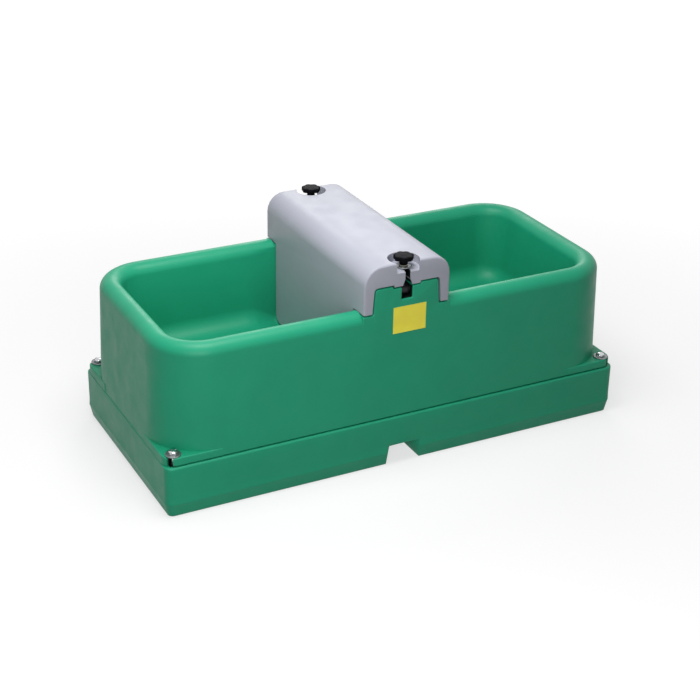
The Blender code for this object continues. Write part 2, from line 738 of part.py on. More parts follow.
def knob_ring(share, height, steps):
    """Star outline: a circle with shallow round flutes between its lobes."""
    ring = []
    for step in range(steps):
        angle = 2 * math.pi * step / steps
        flute = KNOB_LOBE_DEPTH * (0.5 - 0.5 * math.cos(KNOB_LOBES * angle)) ** 1.5
        radius = (KNOB_DIAMETER / 2 - flute) * share
        ring.append((radius * math.cos(angle), radius * math.sin(angle), height))
    return ring


def make_knob(side, word, plastic, steel, nylon, brass):
    """Star knob with a brass bush, on a captive thrust washer and a large steel washer."""
    place = {"location": (0, side * BOLT_Y, 0)}
    bore = THREAD + SEAT_GAP * 2
    low = WASHER_SEAT + SEAT_GAP
    high = low + WASHER_THICKNESS
    washer = sleeve(f"knob_washer_{word}", WASHER_DIAMETER, bore, low, high, steel, **place)
    low, high = high + SEAT_GAP, high + SEAT_GAP + THRUST_THICKNESS
    thrust = sleeve(f"thrust_washer_{word}", THRUST_DIAMETER, bore, low, high, nylon, **place)
    low = high + SEAT_GAP
    head = low + KNOB_HUB_HEIGHT
    top = head + KNOB_HEAD_HEIGHT
    bush_outer = bore + BUSH_WALL * 2
    bush = sleeve(f"knob_bush_{word}", bush_outer, bore, low, low + BUSH_LENGTH, brass, **place)
    steps = KNOB_LOBES * LOBE_STEPS
    socket, hub = bush_outer / 2 + SEAT_GAP, KNOB_HUB_DIAMETER / 2
    profile = ((socket, top - KNOB_CROWN), (socket, low), (hub, low), (hub, head - KNOB_FILLET))
    rings = [circle_ring(radius, height, steps) for radius, height in profile]
    rings += [knob_ring(share, head + KNOB_HEAD_HEIGHT * rise, steps) for share, rise in KNOB_FORM]
    knob = add_object(f"knob_{word}", *loft(rings), plastic, rotation=(0, 0, math.pi / 2), **place)
    for item in (washer, thrust, bush, knob):
        shade_round(item)
    return washer, thrust, bush, knob


def hang_on_pivot(side, word, pieces):
    """Empty on the pin's axis that carries everything that swings with the bolt."""
    pivot = bpy.data.objects.new(f"swing_axis_{word}", None)
    bpy.context.scene.collection.objects.link(pivot)
    pivot.location = (0, side * BOLT_Y, PIVOT_Z)
    for piece in pieces:
        piece.parent = pivot
        piece.location = piece.location - pivot.location


def make_supply(steel, brass, rubber, hose, iron):
    place = {"location": (0, SUPPLY_Y, 0)}
    radius = FITTING_DIAMETER / 2
    socket = PIPE_DIAMETER / 2 + SEAT_GAP
    gasket = BAY_FLOOR + SEAT_GAP
    flange = gasket + GASKET_THICKNESS + SEAT_GAP
    flange_top = flange + FLANGE_THICKNESS
    socket_wall = socket + SOCKET_WALL
    nut_top = BAY_FLOOR - BASIN_SKIN - SEAT_GAP
    nut_low = nut_top - NUT_THICKNESS
    barb = HOSE_BORE / 2 - SEAT_GAP
    barb_low = nut_low - FITTING_TAIL
    shoulder = nut_low - FITTING_SHOULDER
    mouth = flange_top + SOCKET_DEPTH
    edge = FITTING_FLANGE / 2
    water = barb - BARB_WALL
    outline = [(barb, barb_low), (barb, shoulder), (radius, shoulder), (radius, flange), (edge, flange)]
    outline += [(edge, flange_top), (socket_wall, flange_top), (socket_wall, mouth), (socket, mouth)]
    outline += [(socket, flange_top), (water, flange_top), (water, barb_low)]
    fitting = turned("supply_fitting", outline, brass, hollow=True, **place)
    around = FITTING_DIAMETER + 2 * SEAT_GAP
    span = (gasket, gasket + GASKET_THICKNESS)
    ring = sleeve("supply_gasket", FITTING_FLANGE, around, *span, rubber, **place)
    nut = hex_nut("supply_nut", SUPPLY_NUT_ACROSS, around, nut_low, nut_top, brass, **place)
    elbow_low = VALVE_Z - ELBOW_BEND - SOCKET_DEPTH
    pipe = sleeve("standpipe", PIPE_DIAMETER, PIPE_BORE, flange_top + SEAT_GAP,
                  elbow_low + SOCKET_DEPTH - SEAT_GAP, steel, **place)
    elbow = make_elbow(iron, elbow_low)
    hose_top = shoulder - SEAT_GAP
    path = Path((SUPPLY_Y, hose_top), -90)
    path.straight(hose_top - HOSE_HEIGHT - HOSE_BEND)
    path.bend(HOSE_BEND, 90)
    path.straight(WIDTH / 2 - HOSE_END_INSET - SUPPLY_Y - HOSE_BEND)
    outer = swept_rings(path, HOSE_DIAMETER / 2, TURNED_STEPS)
    inner = swept_rings(path, HOSE_BORE / 2, TURNED_STEPS)
    hose_pipe = add_object("supply_pipe", *loft(outer + inner[::-1], closed=True), hose)
    around = HOSE_DIAMETER + 2 * SEAT_GAP
    span = (hose_top - CLAMP_INSET - CLAMP_WIDTH, hose_top - CLAMP_INSET)
    clamp = sleeve("hose_clamp", around + 2 * CLAMP_WALL, around, *span, steel, **place)
    for item in (fitting, ring, nut, pipe, elbow, hose_pipe, clamp):
        shade_round(item)


def make_elbow(iron, low):
    """Malleable elbow from the standpipe to the valve: a plain bend with a socket at each end."""
    socket = PIPE_DIAMETER / 2 + SEAT_GAP
    path = Path((SUPPLY_Y, low), 90)
    path.straight(SOCKET_DEPTH)
    path.bend(ELBOW_BEND, 90)
    path.straight(SOCKET_DEPTH)
    last = len(path.points) - 1
    outer = swept_rings(path, socket + SOCKET_WALL, TURNED_STEPS)
    inner = [path.ring(last, socket, TURNED_STEPS), path.ring(last - 1, socket, TURNED_STEPS)]
    inner += [path.ring(index, PIPE_BORE / 2, TURNED_STEPS) for index in range(last - 1, 0, -1)]
    inner += [path.ring(1, socket, TURNED_STEPS), path.ring(0, socket, TURNED_STEPS)]
    return add_object("standpipe_elbow", *loft(outer + inner, closed=True), iron)


def valve_stations():
    """Distances along the valve from the standpipe's axis towards -Y."""
    tail = ELBOW_BEND + SEAT_GAP
    hexagon = ELBOW_BEND + SOCKET_DEPTH + SEAT_GAP
    barrel = hexagon + VALVE_HEX_LENGTH
    bore = barrel + VALVE_WALL
    nozzle = bore + SEAT_GAP
    lip = nozzle + NOZZLE_LENGTH + NOZZLE_LIP
    seal = lip + SEAT_GAP + PISTON_TRAVEL
    piston = seal + SEAL_THICKNESS + SEAT_GAP
    pivot = piston + PISTON_SLOT_PLACE - PISTON_TRAVEL / 2
    return {"tail": tail, "hexagon": hexagon, "barrel": barrel, "bore": bore, "nozzle": nozzle, "lip": lip,
            "seal": seal, "piston": piston, "pivot": pivot, "end": barrel + VALVE_BARREL_LENGTH}


def make_valve(brass, plastic, rubber, steel):
    """Float valve: body with a nozzle, and a piston that carries the rubber seal."""
    at = valve_stations()
    towards = {"location": (0, SUPPLY_Y, VALVE_Z), "rotation": (math.pi / 2, 0, 0)}
    tail = PIPE_DIAMETER / 2
    barrel = BARREL_DIAMETER / 2
    bore = PISTON_DIAMETER / 2 + SEAT_GAP
    water = WATERWAY / 2
    hexagon = VALVE_HEX_ACROSS
    rings = [circle_ring(tail, at["tail"], HEX_STEPS), circle_ring(tail, at["hexagon"], HEX_STEPS)]
    rings += [hex_ring(hexagon, hexagon, at["hexagon"]), hex_ring(hexagon, hexagon, at["barrel"])]
    profile = [(barrel, at["barrel"]), (barrel, at["end"]), (bore, at["end"]), (bore, at["bore"])]
    profile += [(water, at["bore"]), (water, at["tail"])]
    rings += [circle_ring(radius, height, HEX_STEPS) for radius, height in profile]
    body = add_object("valve_body", *loft(rings, closed=True), brass, **towards)
    pivot = Vector((0, SUPPLY_Y - at["pivot"], VALVE_Z - LEVER_LENGTH))
    inner = LEVER_WIDTH / 2 + LEVER_CLEARANCE
    radius = EAR_PLATE_RADIUS
    for low, high in ((inner, inner + EAR_PLATE), (-inner - EAR_PLATE, -inner)):
        ear = arc((pivot.y, pivot.z), radius, 180, 360, SLOT_STEPS)
        ear += [(pivot.y + radius, VALVE_Z - EAR_PLATE_ROOT), (pivot.y - radius, VALVE_Z - EAR_PLATE_ROOT)]
        join(body, prism("valve_ear_guide", ear, "X", low, high))
    window_low = (-inner, SUPPLY_Y - at["end"] + WINDOW_INSET, VALVE_Z - BARREL_DIAMETER)
    cut(body, block("window_cutter", window_low, (inner, SUPPLY_Y - at["lip"], VALVE_Z)))
    reach = inner + EAR_PLATE + PIN_OVERHANG
    pin_hole = LEVER_PIN_DIAMETER / 2 + SEAT_GAP
    cut(body, cylinder("valve_pin_cutter", pin_hole, -reach - CUT_PAST, reach + CUT_PAST, "X", pivot))
    pin = cylinder("lever_pin", LEVER_PIN_DIAMETER / 2, -reach, reach, "X", pivot)
    pin.data.materials.append(steel)
    radius, lip, water = PISTON_DIAMETER / 2, NOZZLE_LIP_DIAMETER / 2, NOZZLE_BORE / 2
    face = at["lip"] - NOZZLE_LIP
    outline = [(radius, at["nozzle"]), (radius, face), (lip, face), (lip, at["lip"]), (water, at["lip"])]
    outline += [(water, at["nozzle"])]
    nozzle = turned("valve_nozzle", outline, plastic, hollow=True, **towards)
    sealing = {"location": (0, SUPPLY_Y - at["seal"], VALVE_Z), "rotation": (math.pi / 2, 0, 0)}
    radius = SEAL_DIAMETER / 2
    seal = turned("piston_seal", [(radius, 0), (radius, SEAL_THICKNESS)], rubber, **sealing)
    moving = {"location": (0, SUPPLY_Y - at["piston"], VALVE_Z), "rotation": (math.pi / 2, 0, 0)}
    radius = PISTON_DIAMETER / 2
    piston = turned("valve_piston", [(radius, 0), (radius, PISTON_LENGTH)], brass, **moving)
    slot_half = LEVER_TIP_DIAMETER / 2 + SEAT_GAP
    slot_centre = SUPPLY_Y - at["piston"] - PISTON_SLOT_PLACE
    high = VALVE_Z + LEVER_TIP_DIAMETER / 2 + PISTON_SLOT_ROOM
    side = LEVER_WIDTH / 2 + SEAT_GAP
    low = (-side, slot_centre - slot_half, VALVE_Z - PISTON_DIAMETER)
    cut(piston, block("piston_slot_cutter", low, (side, slot_centre + slot_half, high)))
    for item in (body, pin, nozzle, seal, piston):
        shade_round(item)
    return pivot


def make_float_arm(pivot, brass, plastic):
    """Lever, rod and float, drawn with the valve shut and then let down to its open stop."""
    tilt = math.radians(LEVER_SWING)
    place = {"location": pivot, "rotation": (tilt, 0, 0)}
    half = LEVER_WIDTH / 2
    neck = LEVER_NECK / 2
    root = LEVER_LENGTH - LEVER_TIP_ROOT
    outline = [(-neck, 0), (neck, 0), (neck, root)]
    outline += arc((0, LEVER_LENGTH), LEVER_TIP_DIAMETER / 2, -50, 230, SLOT_STEPS)
    outline += [(-neck, root)]
    cosine, sine = math.cos(LEVER_HALF_SWING), math.sin(LEVER_HALF_SWING)
    outline = [(y * cosine + z * sine, z * cosine - y * sine) for y, z in outline]
    arm = prism("float_arm", outline, "X", -half, half, brass, **place)
    hub = cylinder("hub_guide", LEVER_HUB_DIAMETER / 2, -half, half, "X", pivot)
    join(arm, hub)
    path = Path((-ARM_ROOT, 0), 180 + ARM_DROOP)
    path.straight((ARM_REACH - ARM_BEND) / math.cos(math.radians(ARM_DROOP)) - ARM_ROOT)
    path.bend(ARM_BEND, 90 - ARM_DROOP)
    stud_top = path.points[-1]
    path.straight(FLOAT_HEIGHT + 2 * FLOAT_NUT_THICKNESS + STUD_END)
    join(arm, add_object("rod_guide", *loft(swept_rings(path, ARM_DIAMETER / 2, ROD_STEPS)), **place))
    pin_hole = LEVER_PIN_DIAMETER / 2 + SEAT_GAP
    cut(arm, cylinder("lever_pin_cutter", pin_hole, -half - CUT_PAST, half + CUT_PAST, "X", pivot))
    shade_round(arm)
    nut_high = -SEAT_GAP
    nut_low = nut_high - FLOAT_NUT_THICKNESS
    float_top = nut_low - SEAT_GAP
    float_low = float_top - FLOAT_HEIGHT
    bore = ARM_DIAMETER + SEAT_GAP * 2
    radius = FLOAT_DIAMETER / 2
    edge = FLOAT_EDGE
    outline = arc((radius - edge, float_low + edge), edge, 270, 360, FILLET_STEPS)
    outline += arc((radius - edge, float_top - edge), edge, 0, 90, FILLET_STEPS)
    outline += [(bore / 2, float_top), (bore / 2, float_low)]
    ball = turned("float", outline, plastic, LARGE_STEPS, hollow=True)
    size = (FLOAT_NUT_ACROSS, bore)
    upper = hex_nut("float_nut_upper", *size, nut_low, nut_high, brass, SMALL_HEX_STEPS)
    nut_high = float_low - SEAT_GAP
    nut_low = nut_high - FLOAT_NUT_THICKNESS
    lower = hex_nut("float_nut_lower", *size, nut_low, nut_high, brass, SMALL_HEX_STEPS)
    for item in (ball, upper, lower):
        item.parent = arm
        item.location = stud_top
        shade_round(item)


def make_drain(brass, rubber, hose, plastic):
    place = {"location": (0, DRAIN_Y, 0)}
    radius = DRAIN_TUBE_DIAMETER / 2
    bore = DRAIN_BORE / 2
    gasket = BAY_FLOOR + SEAT_GAP
    flange = gasket + GASKET_THICKNESS + SEAT_GAP
    flange_top = flange + FLANGE_THICKNESS / 2
    nut_top = BAY_FLOOR - BASIN_SKIN - SEAT_GAP
    nut_low = nut_top - NUT_THICKNESS
    tail = nut_low - DRAIN_TAIL
    edge = DRAIN_FLANGE / 2
    outline = [(radius, tail), (radius, flange), (edge, flange), (edge, flange_top)]
    outline += [(bore, flange_top), (bore, tail)]
    body = turned("drain_body", outline, plastic, hollow=True, **place)
    around = DRAIN_TUBE_DIAMETER + 2 * SEAT_GAP
    ring = sleeve("drain_gasket", DRAIN_FLANGE, around, gasket, gasket + GASKET_THICKNESS, rubber, **place)
    nut = hex_nut("drain_nut", DRAIN_FLANGE, around, nut_low, nut_top, plastic, **place)
    span = (CHANNEL_HEIGHT + SEAT_GAP, nut_low - SEAT_GAP)
    pipe = sleeve("drain_pipe", DRAIN_PIPE_DIAMETER, around, *span, hose, **place)
    seal_low = flange_top + SEAT_GAP
    cap_low = seal_low + GASKET_THICKNESS + SEAT_GAP
    span = (seal_low, seal_low + GASKET_THICKNESS)
    seal = sleeve("plug_seal", PLUG_CAP_DIAMETER, DRAIN_BORE, *span, rubber, **place)
    cap_top = cap_low + FLANGE_THICKNESS / 2
    stem, tip, cap = bore - SEAT_GAP, cap_low - PLUG_LENGTH, PLUG_CAP_DIAMETER / 2
    outline = [(stem - PLUG_TAPER, tip), (stem, tip + PLUG_TAPER * 2), (stem, cap_low)]
    outline += [(cap, cap_low), (cap, cap_top), (PLUG_NECK / 2, cap_top)]
    grip = PLUG_GRIP_DIAMETER / 2
    outline += arc((0, cap_top + PLUG_GRIP_HEIGHT - grip), grip, -60, 75, FILLET_STEPS)
    plug = turned("drain_plug", outline, plastic, **place)
    for item in (body, ring, nut, pipe, seal, plug):
        shade_round(item)


def main():
    clear_scene()
    green = finish_material("green_polyethylene", (0.020, 0.255, 0.148), 0.55)
    grey = finish_material("grey_polyethylene", (0.52, 0.53, 0.60), 0.55)
    black = finish_material("black_nylon", (0.015, 0.015, 0.016), 0.40)
    natural = finish_material("natural_nylon", (0.70, 0.69, 0.63), 0.45)
    stainless = finish_material("stainless_steel", (0.60, 0.60, 0.61), 0.30, 1.0)
    plated = finish_material("black_steel", (0.022, 0.022, 0.024), 0.40)
    galvanised = finish_material("galvanised_steel", (0.48, 0.50, 0.52), 0.45, 1.0)
    brass = finish_material("brass", (0.62, 0.42, 0.16), 0.32, 1.0)
    rubber = finish_material("black_rubber", (0.02, 0.02, 0.02), 0.75)
    polyethylene_pipe = finish_material("black_polyethylene_pipe", (0.02, 0.02, 0.025), 0.50)
    orange = finish_material("orange_polypropylene", (0.80, 0.20, 0.03), 0.45)
    make_base(green)
    make_trough(green)
    make_corner_fixings(stainless, brass)
    make_cover(grey)
    for side, word in ((-1, "front"), (1, "rear")):
        bolt = make_swing_bolt(side, word, plated, stainless)
        clamp = make_knob(side, word, black, stainless, natural, brass)
        hang_on_pivot(side, word, (bolt, *clamp))
    make_supply(galvanised, brass, rubber, polyethylene_pipe, galvanised)
    pivot = make_valve(brass, natural, rubber, stainless)
    make_float_arm(pivot, brass, orange)
    make_drain(brass, rubber, polyethylene_pipe, black)


main()
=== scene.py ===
"""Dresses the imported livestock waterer: moulded surfaces, fixings, float valve, finishes and stage.

Metres, +Z up. The origin is the middle of the base's underside, and -Y is the side that faces the
photograph's camera. Each operator makes one piece or one group of like pieces around the CAD frame.
"""

import json
import math

import bmesh
import bpy
import numpy as np
from bpy.props import FloatProperty, FloatVectorProperty, IntProperty, PointerProperty
from mathutils import Matrix, Vector

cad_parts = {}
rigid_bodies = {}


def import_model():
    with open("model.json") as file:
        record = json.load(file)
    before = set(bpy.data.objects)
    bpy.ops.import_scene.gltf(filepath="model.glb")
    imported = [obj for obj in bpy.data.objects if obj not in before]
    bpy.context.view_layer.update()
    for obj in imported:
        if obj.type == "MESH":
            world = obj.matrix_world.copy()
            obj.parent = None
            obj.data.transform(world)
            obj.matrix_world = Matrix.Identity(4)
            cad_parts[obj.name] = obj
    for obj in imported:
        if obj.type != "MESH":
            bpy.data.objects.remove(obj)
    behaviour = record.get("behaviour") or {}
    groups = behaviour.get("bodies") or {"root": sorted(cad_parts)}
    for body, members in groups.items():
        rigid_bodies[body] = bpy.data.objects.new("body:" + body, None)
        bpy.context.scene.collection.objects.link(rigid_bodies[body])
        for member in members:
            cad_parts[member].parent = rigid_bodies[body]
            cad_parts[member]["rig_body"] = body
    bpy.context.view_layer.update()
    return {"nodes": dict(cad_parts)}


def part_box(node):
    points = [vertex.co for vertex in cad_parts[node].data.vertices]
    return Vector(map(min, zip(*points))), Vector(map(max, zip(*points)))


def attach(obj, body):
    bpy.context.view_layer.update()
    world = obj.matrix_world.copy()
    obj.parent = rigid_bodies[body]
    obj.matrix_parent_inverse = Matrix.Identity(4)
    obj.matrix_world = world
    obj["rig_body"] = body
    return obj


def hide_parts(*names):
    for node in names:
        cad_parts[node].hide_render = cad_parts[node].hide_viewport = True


bl_info = {
    "name": "Livestock Waterer",
    "version": (1, 0, 0),
    "blender": (4, 5, 0),
    "location": "View3D > Sidebar > Waterer",
    "description": "Builds the surfaces and finishes of a livestock waterer around its CAD frame",
    "category": "Object",
}

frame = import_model()

# Corners of the CAD pieces that the surfaces are built on
TROUGH_LOW, TROUGH_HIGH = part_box("trough")
BASE_LOW, BASE_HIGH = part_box("base")
KNOB_LOW, KNOB_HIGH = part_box("knob_front")
SCREW_LOW, SCREW_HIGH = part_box("corner_screw_front_right")
WASHER_LOW, WASHER_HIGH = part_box("corner_washer_front_right")
_, BOLT_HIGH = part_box("swing_bolt_front")

# Trough: its sections and places, nearly all as in the CAD model
TROUGH_CORNER = 0.110
WALL_DRAFT = 0.0085
RIM_RADIUS = 0.022
RIM_TOP = 0.335
BASIN_DRAFT = 0.006
BASIN_FILLET = 0.035
BASIN_FLOOR = 0.168
BAY_INSET = 0.0495
BAY_FLOOR = 0.152
BAY_FILLET = 0.020
BAY_HALF = 0.098
BAY_RAMP_END = 0.1475
FACE_Y = 0.2206
BOLSTER_HALF = 0.0944
BOLSTER_FOOT = 0.285
BOLSTER_THICK = 0.0416
LEDGE = 0.330
HUMP_TOP = 0.382
POCKET_BACK = 0.1876
POCKET_FLOOR = 0.353
EAR_TOP = 0.1233
SLOT_HALF = 0.006
SCREW_X = 0.477
SCREW_Y = 0.209
PIVOT_Z = 0.3645
BOLT_Y = 0.2008
PIN_BED_HALF = 0.0235
FLOOR_HOLES = ((0.125, 0.0133), (-0.135, 0.0143))  # y and radius: the supply's and the drain's
HOLE_TOP = 0.17
RECESS_RADIUS = 0.034
RECESS_TOP = 0.145
UNDER_FLOOR = 0.10

# Trough: what only the surfaces have
EAR_CORNER = 0.026
SHADOW_GAP = 0.0030  # height of the rebate under the foot
SHADOW_DEPTH = 0.0100
FOOT_BACK = 0.0030
END_BACK = 0.0007
EAR_BACK = 0.0003
APART = 0.0003  # keeps the ears' faces off the shell's, where the Boolean joins them
FACET_TURN = 2.2  # degrees; keeps the round cutters' edges off the lines of the floor

# Other pieces
BORE = 0.0053  # radius of a hole for an M10 thread or a 10 mm pin
THREAD_PITCH = 0.0015
BASE_CORNER = 0.0165
LABEL_X = (-0.029, 0.042)
LABEL_Z = (0.2835, 0.338)
LABEL_PROUD = 0.0004
LABEL_SUNK = 0.0002
CORNERS = (("front_left", -1, -1), ("front_right", 1, -1), ("rear_right", 1, 1), ("rear_left", -1, 1))
SIDES = (("front", -1), ("rear", 1))

# Painted shade, nearly black, where the humps' pockets, the ears' screw slots and the cover's bolt slot are
# deep: limits of |x|, |y| and z
SHADED_POCKETS = (((-1.0, 0.0126), (0.1862, 0.2184), (0.3514, 0.3786)),
           ((0.4665, 0.4885), (0.1985, 0.2205), (0.1000, 0.1222)))
SHADED_SLOTS = (((-1.0, 0.0066), (0.1900, 0.2192), (0.3880, 0.4100)),
         ((-1.0, 0.0120), (0.1880, 0.2192), (0.3700, 0.3900)))
SHADE_BORDER = 0.0010
# Colour of the painted shade
PAINTED_SHADE = "0C1512"

# Materials by short name, which the first operator fills in
FINISHES = {}


def linear(code):
    """Linear red, green and blue of an sRGB hex colour."""
    channels = np.array([int(code[k:k + 2], 16) for k in (0, 2, 4)]) / 255
    bent = np.where(channels <= 0.04045, channels / 12.92, ((channels + 0.055) / 1.055) ** 2.4)
    return tuple(float(value) for value in bent)


# Surfaces: every shape is (points, faces), with points as an array of rows x, y, z


def grid_faces(rows, columns, wrap_rows=False, wrap_columns=False):
    """Quads of a grid of points in row order; a wrapped direction joins its last line to its first."""
    row = np.arange(rows if wrap_rows else rows - 1)[:, None]
    column = np.arange(columns if wrap_columns else columns - 1)[None, :]
    after_row, after_column = (row + 1) % rows, (column + 1) % columns
    corners = (row * columns + column, row * columns + after_column,
               after_row * columns + after_column, after_row * columns + column)
    return np.stack(np.broadcast_arrays(*corners), -1).reshape(-1, 4).tolist()


def skin(rings, closed=False):
    """Surface over rings of points, stacked upwards. Its ends are capped flat unless it is closed."""
    rings = np.asarray(rings, float)
    rows, columns = rings.shape[:2]
    faces = grid_faces(rows, columns, closed, True)
    if not closed:
        faces.append(list(range(columns))[::-1])
        faces.append(list(range((rows - 1) * columns, rows * columns)))
    return rings.reshape(-1, 3), faces


def together(*shapes):
    """Several shapes as one."""
    points, faces, start = [], [], 0
    for shape_points, shape_faces in shapes:
        points.append(np.asarray(shape_points, float))
        faces += [[index + start for index in face] for face in shape_faces]
        start += len(shape_points)
    return np.concatenate(points), faces


def moved(shape, offset=(0, 0, 0), turn=None):
    """Shape turned by a rotation matrix about the origin and then moved."""
    points = shape[0] if turn is None else shape[0] @ np.array(turn).T
    return points + np.array(offset, float), shape[1]


def lathe(profile, steps=64, across=None, closed=False):
    """Surface of revolution about Z. Each point at angle a is (r cos a, r sin a, z), and with a width
    across flats r is cut back to the hexagon (across / 2) / cos(fold of a about the nearest flat)."""
    profile = np.asarray(profile, float)
    angle = 2 * np.pi * np.arange(steps) / steps
    radius = np.repeat(profile[:, :1], steps, 1)
    if across:
        fold = np.mod(angle, np.pi / 3) - np.pi / 6
        radius = np.minimum(radius, across / 2 / np.cos(fold)[None, :])
    height = np.repeat(profile[:, 1:], steps, 1)
    return skin(np.stack([radius * np.cos(angle), radius * np.sin(angle), height], -1), closed)


def arc(centre, radius, start, end, steps):
    """Points centre + radius (cos a, sin a) for a from start to end in degrees."""
    angle = np.radians(np.linspace(start, end, steps + 1))
    return np.stack([centre[0] + radius * np.cos(angle), centre[1] + radius * np.sin(angle)], -1)


def rounded(points, radii, steps=5):
    """Polygon with each corner replaced by an arc that is tangent to both of its sides."""
    points = np.asarray(points, float)
    out = []
    for here, before, after, radius in zip(points, np.roll(points, 1, 0), np.roll(points, -1, 0), radii):
        a, b = before - here, after - here
        a, b = a / np.linalg.norm(a), b / np.linalg.norm(b)
        bend = math.acos(np.clip(a @ b, -1, 1))
        if radius <= 0 or bend > math.pi - 0.02:
            out.append(here[None])
            continue
        reach = radius / math.tan(bend / 2)
        middle = here + (a + b) / np.linalg.norm(a + b) * radius / math.sin(bend / 2)
        first, last = here + a * reach - middle, here + b * reach - middle
        start = math.atan2(first[1], first[0])
        sweep = (math.atan2(last[1], last[0]) - start + math.pi) % (2 * math.pi) - math.pi
        angle = start + sweep * np.linspace(0, 1, steps + 1)
        out.append(middle + radius * np.stack([np.cos(angle), np.sin(angle)], -1))
    return np.concatenate(out)


def inset(outline, amount):
    """Anticlockwise outline moved inwards: each point goes along the bisector of its two edges'
    inward normals n and m, by amount (n + m) / (1 + n.m)."""
    edge = np.roll(outline, -1, 0) - outline
    edge /= np.linalg.norm(edge, axis=1)[:, None]
    after = np.stack([-edge[:, 1], edge[:, 0]], -1)
    before = np.roll(after, 1, 0)
    share = 1 + np.sum(after * before, 1)[:, None]
    return outline + amount * (after + before) / np.maximum(share, 0.3)


def rounded_prism(outline, low, high, edge_low=0.0, edge_high=0.0, steps=4, axis="Z"):
    """Outline carried from low to high. Each rounded end is a quarter circle: at angle a the outline
    is inset by edge (1 - cos a) and stands edge (1 - sin a) back from the end."""
    turns = [(1 - math.cos(a), 1 - math.sin(a)) for a in np.radians(np.linspace(90, 0, steps + 1))]

    def end(depth, edge, way):
        """Inset and depth of each ring from an end inwards."""
        return [(edge * aside, depth + way * edge * up) for aside, up in turns] if edge else [(0.0, depth)]

    rings = []
    for amount, depth in end(low, edge_low, 1) + end(high, edge_high, -1)[::-1]:
        flat = inset(outline, amount) if amount else outline
        rings.append(np.column_stack([flat, np.full(len(flat), depth)]))
    points, faces = skin(rings)
    if axis == "Y":
        points = np.stack([points[:, 0], -points[:, 2], points[:, 1]], -1)
    return points, faces


def mirrored(shape, flip_x, flip_y):
    """Shape mirrored across X or Y, with its faces turned again where that turned it inside out."""
    points = shape[0] * np.array([flip_x, flip_y, 1.0])
    faces = shape[1] if flip_x * flip_y > 0 else [face[::-1] for face in shape[1]]
    return points, faces


def ring_shape(inner, outer, low, high, edge, edge_steps=3, steps=64):
    """Ring about Z whose section is a rectangle with rounded corners."""
    section = rounded([(outer, low), (outer, high), (inner, high), (inner, low)], [edge] * 4, edge_steps)
    return lathe(section, steps, closed=True)


# Objects


def placed(name, data):
    """New object of a mesh, a camera or a lamp, in the scene."""
    item = bpy.data.objects.new(name, data)
    bpy.context.scene.collection.objects.link(item)
    return item


def shaped(name, shape):
    """New object from a shape, in the scene."""
    mesh = bpy.data.meshes.new(name)
    mesh.from_pydata(np.asarray(shape[0]).tolist(), [], shape[1])
    return placed(name, mesh)


def coat(materials, finish):
    """Gives a mesh one material, the finish of a short name."""
    materials.clear()
    materials.append(FINISHES[finish])


def settle(item, finish, body, replaces=(), crease=35):
    """Gives a finished piece its material, its shading, its body and the CAD nodes it stands for."""
    coat(item.data.materials, finish)
    item.data.shade_smooth()
    item.data.set_sharp_from_angle(angle=math.radians(crease))
    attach(item, body)
    if replaces:
        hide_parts(*replaces)


def build(name, shape, finish, body, replaces=(), crease=35):
    """Object at the origin from a shape, smooth but for creases sharper than an angle in degrees."""
    item = shaped(name, shape)
    item.data.validate()
    settle(item, finish, body, replaces, crease)


def evaluated_mesh(item):
    """New mesh of an object with its modifiers applied."""
    return bpy.data.meshes.new_from_object(item.evaluated_get(bpy.context.evaluated_depsgraph_get()))


def carved(name, shape, steps):
    """Object whose mesh is a shape with others added to it or cut from it, one after another."""
    item = shaped("working_shape", shape)
    others = []
    for operation, other in steps:
        others.append(shaped("working_shape", other))
        modifier = item.modifiers.new("carve", "BOOLEAN")
        modifier.operation = operation
        modifier.solver = "EXACT"
        modifier.object = others[-1]
    bpy.context.view_layer.update()
    mesh = evaluated_mesh(item)
    for other in (item, *others):
        bpy.data.objects.remove(other, do_unlink=True)
    mesh.name = name
    return placed(name, mesh)


def bevelled(item, width, segments, crease):
    """Rounds an object's edges that are sharper than an angle in degrees, by a modifier."""
    bevel = item.modifiers.new("rounded_edges", "BEVEL")
    bevel.width = width
    bevel.segments = segments
    bevel.limit_method = "ANGLE"
    bevel.angle_limit = math.radians(crease)
    bevel.use_clamp_overlap = True


def settled_mesh(item, low, high):
    """Puts an object's modifiers into its mesh, and keeps every point within the CAD piece's box."""
    mesh = evaluated_mesh(item)
    item.modifiers.clear()
    item.data = mesh
    points = np.empty(len(mesh.vertices) * 3)
    mesh.vertices.foreach_get("co", points)
    points = np.clip(points.reshape(-1, 3), np.array(low), np.array(high))
    mesh.vertices.foreach_set("co", points.ravel())
    mesh.update()


def softened(node, finish, width, name, crease=35, segments=2):
    """Copy of a CAD node with its loose triangles merged into faces and its edges rounded."""
    source = frame["nodes"][node]
    mesh = source.data.copy()
    work = bmesh.new()
    work.from_mesh(mesh)
    bmesh.ops.remove_doubles(work, verts=work.verts, dist=1e-6)
    bmesh.ops.dissolve_limit(work, angle_limit=math.radians(0.5), verts=work.verts, edges=work.edges)
    work.to_mesh(mesh)
    work.free()
    if "custom_normal" in mesh.attributes:
        mesh.attributes.remove(mesh.attributes["custom_normal"])
    item = placed(name, mesh)
    bevelled(item, width, segments, crease)
    settle(item, finish, source["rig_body"], (node,), 60)


# Finishes


def add(tree, kind, inputs=(), **settings):
    """Node with its settings; an input is a value, or the socket that feeds it."""
    node = tree.nodes.new(kind)
    for key, value in settings.items():
        setattr(node, key, value)
    for key, value in dict(inputs).items():
        if isinstance(value, bpy.types.NodeSocket):
            tree.links.new(value, node.inputs[key])
        else:
            node.inputs[key].default_value = value
    return node


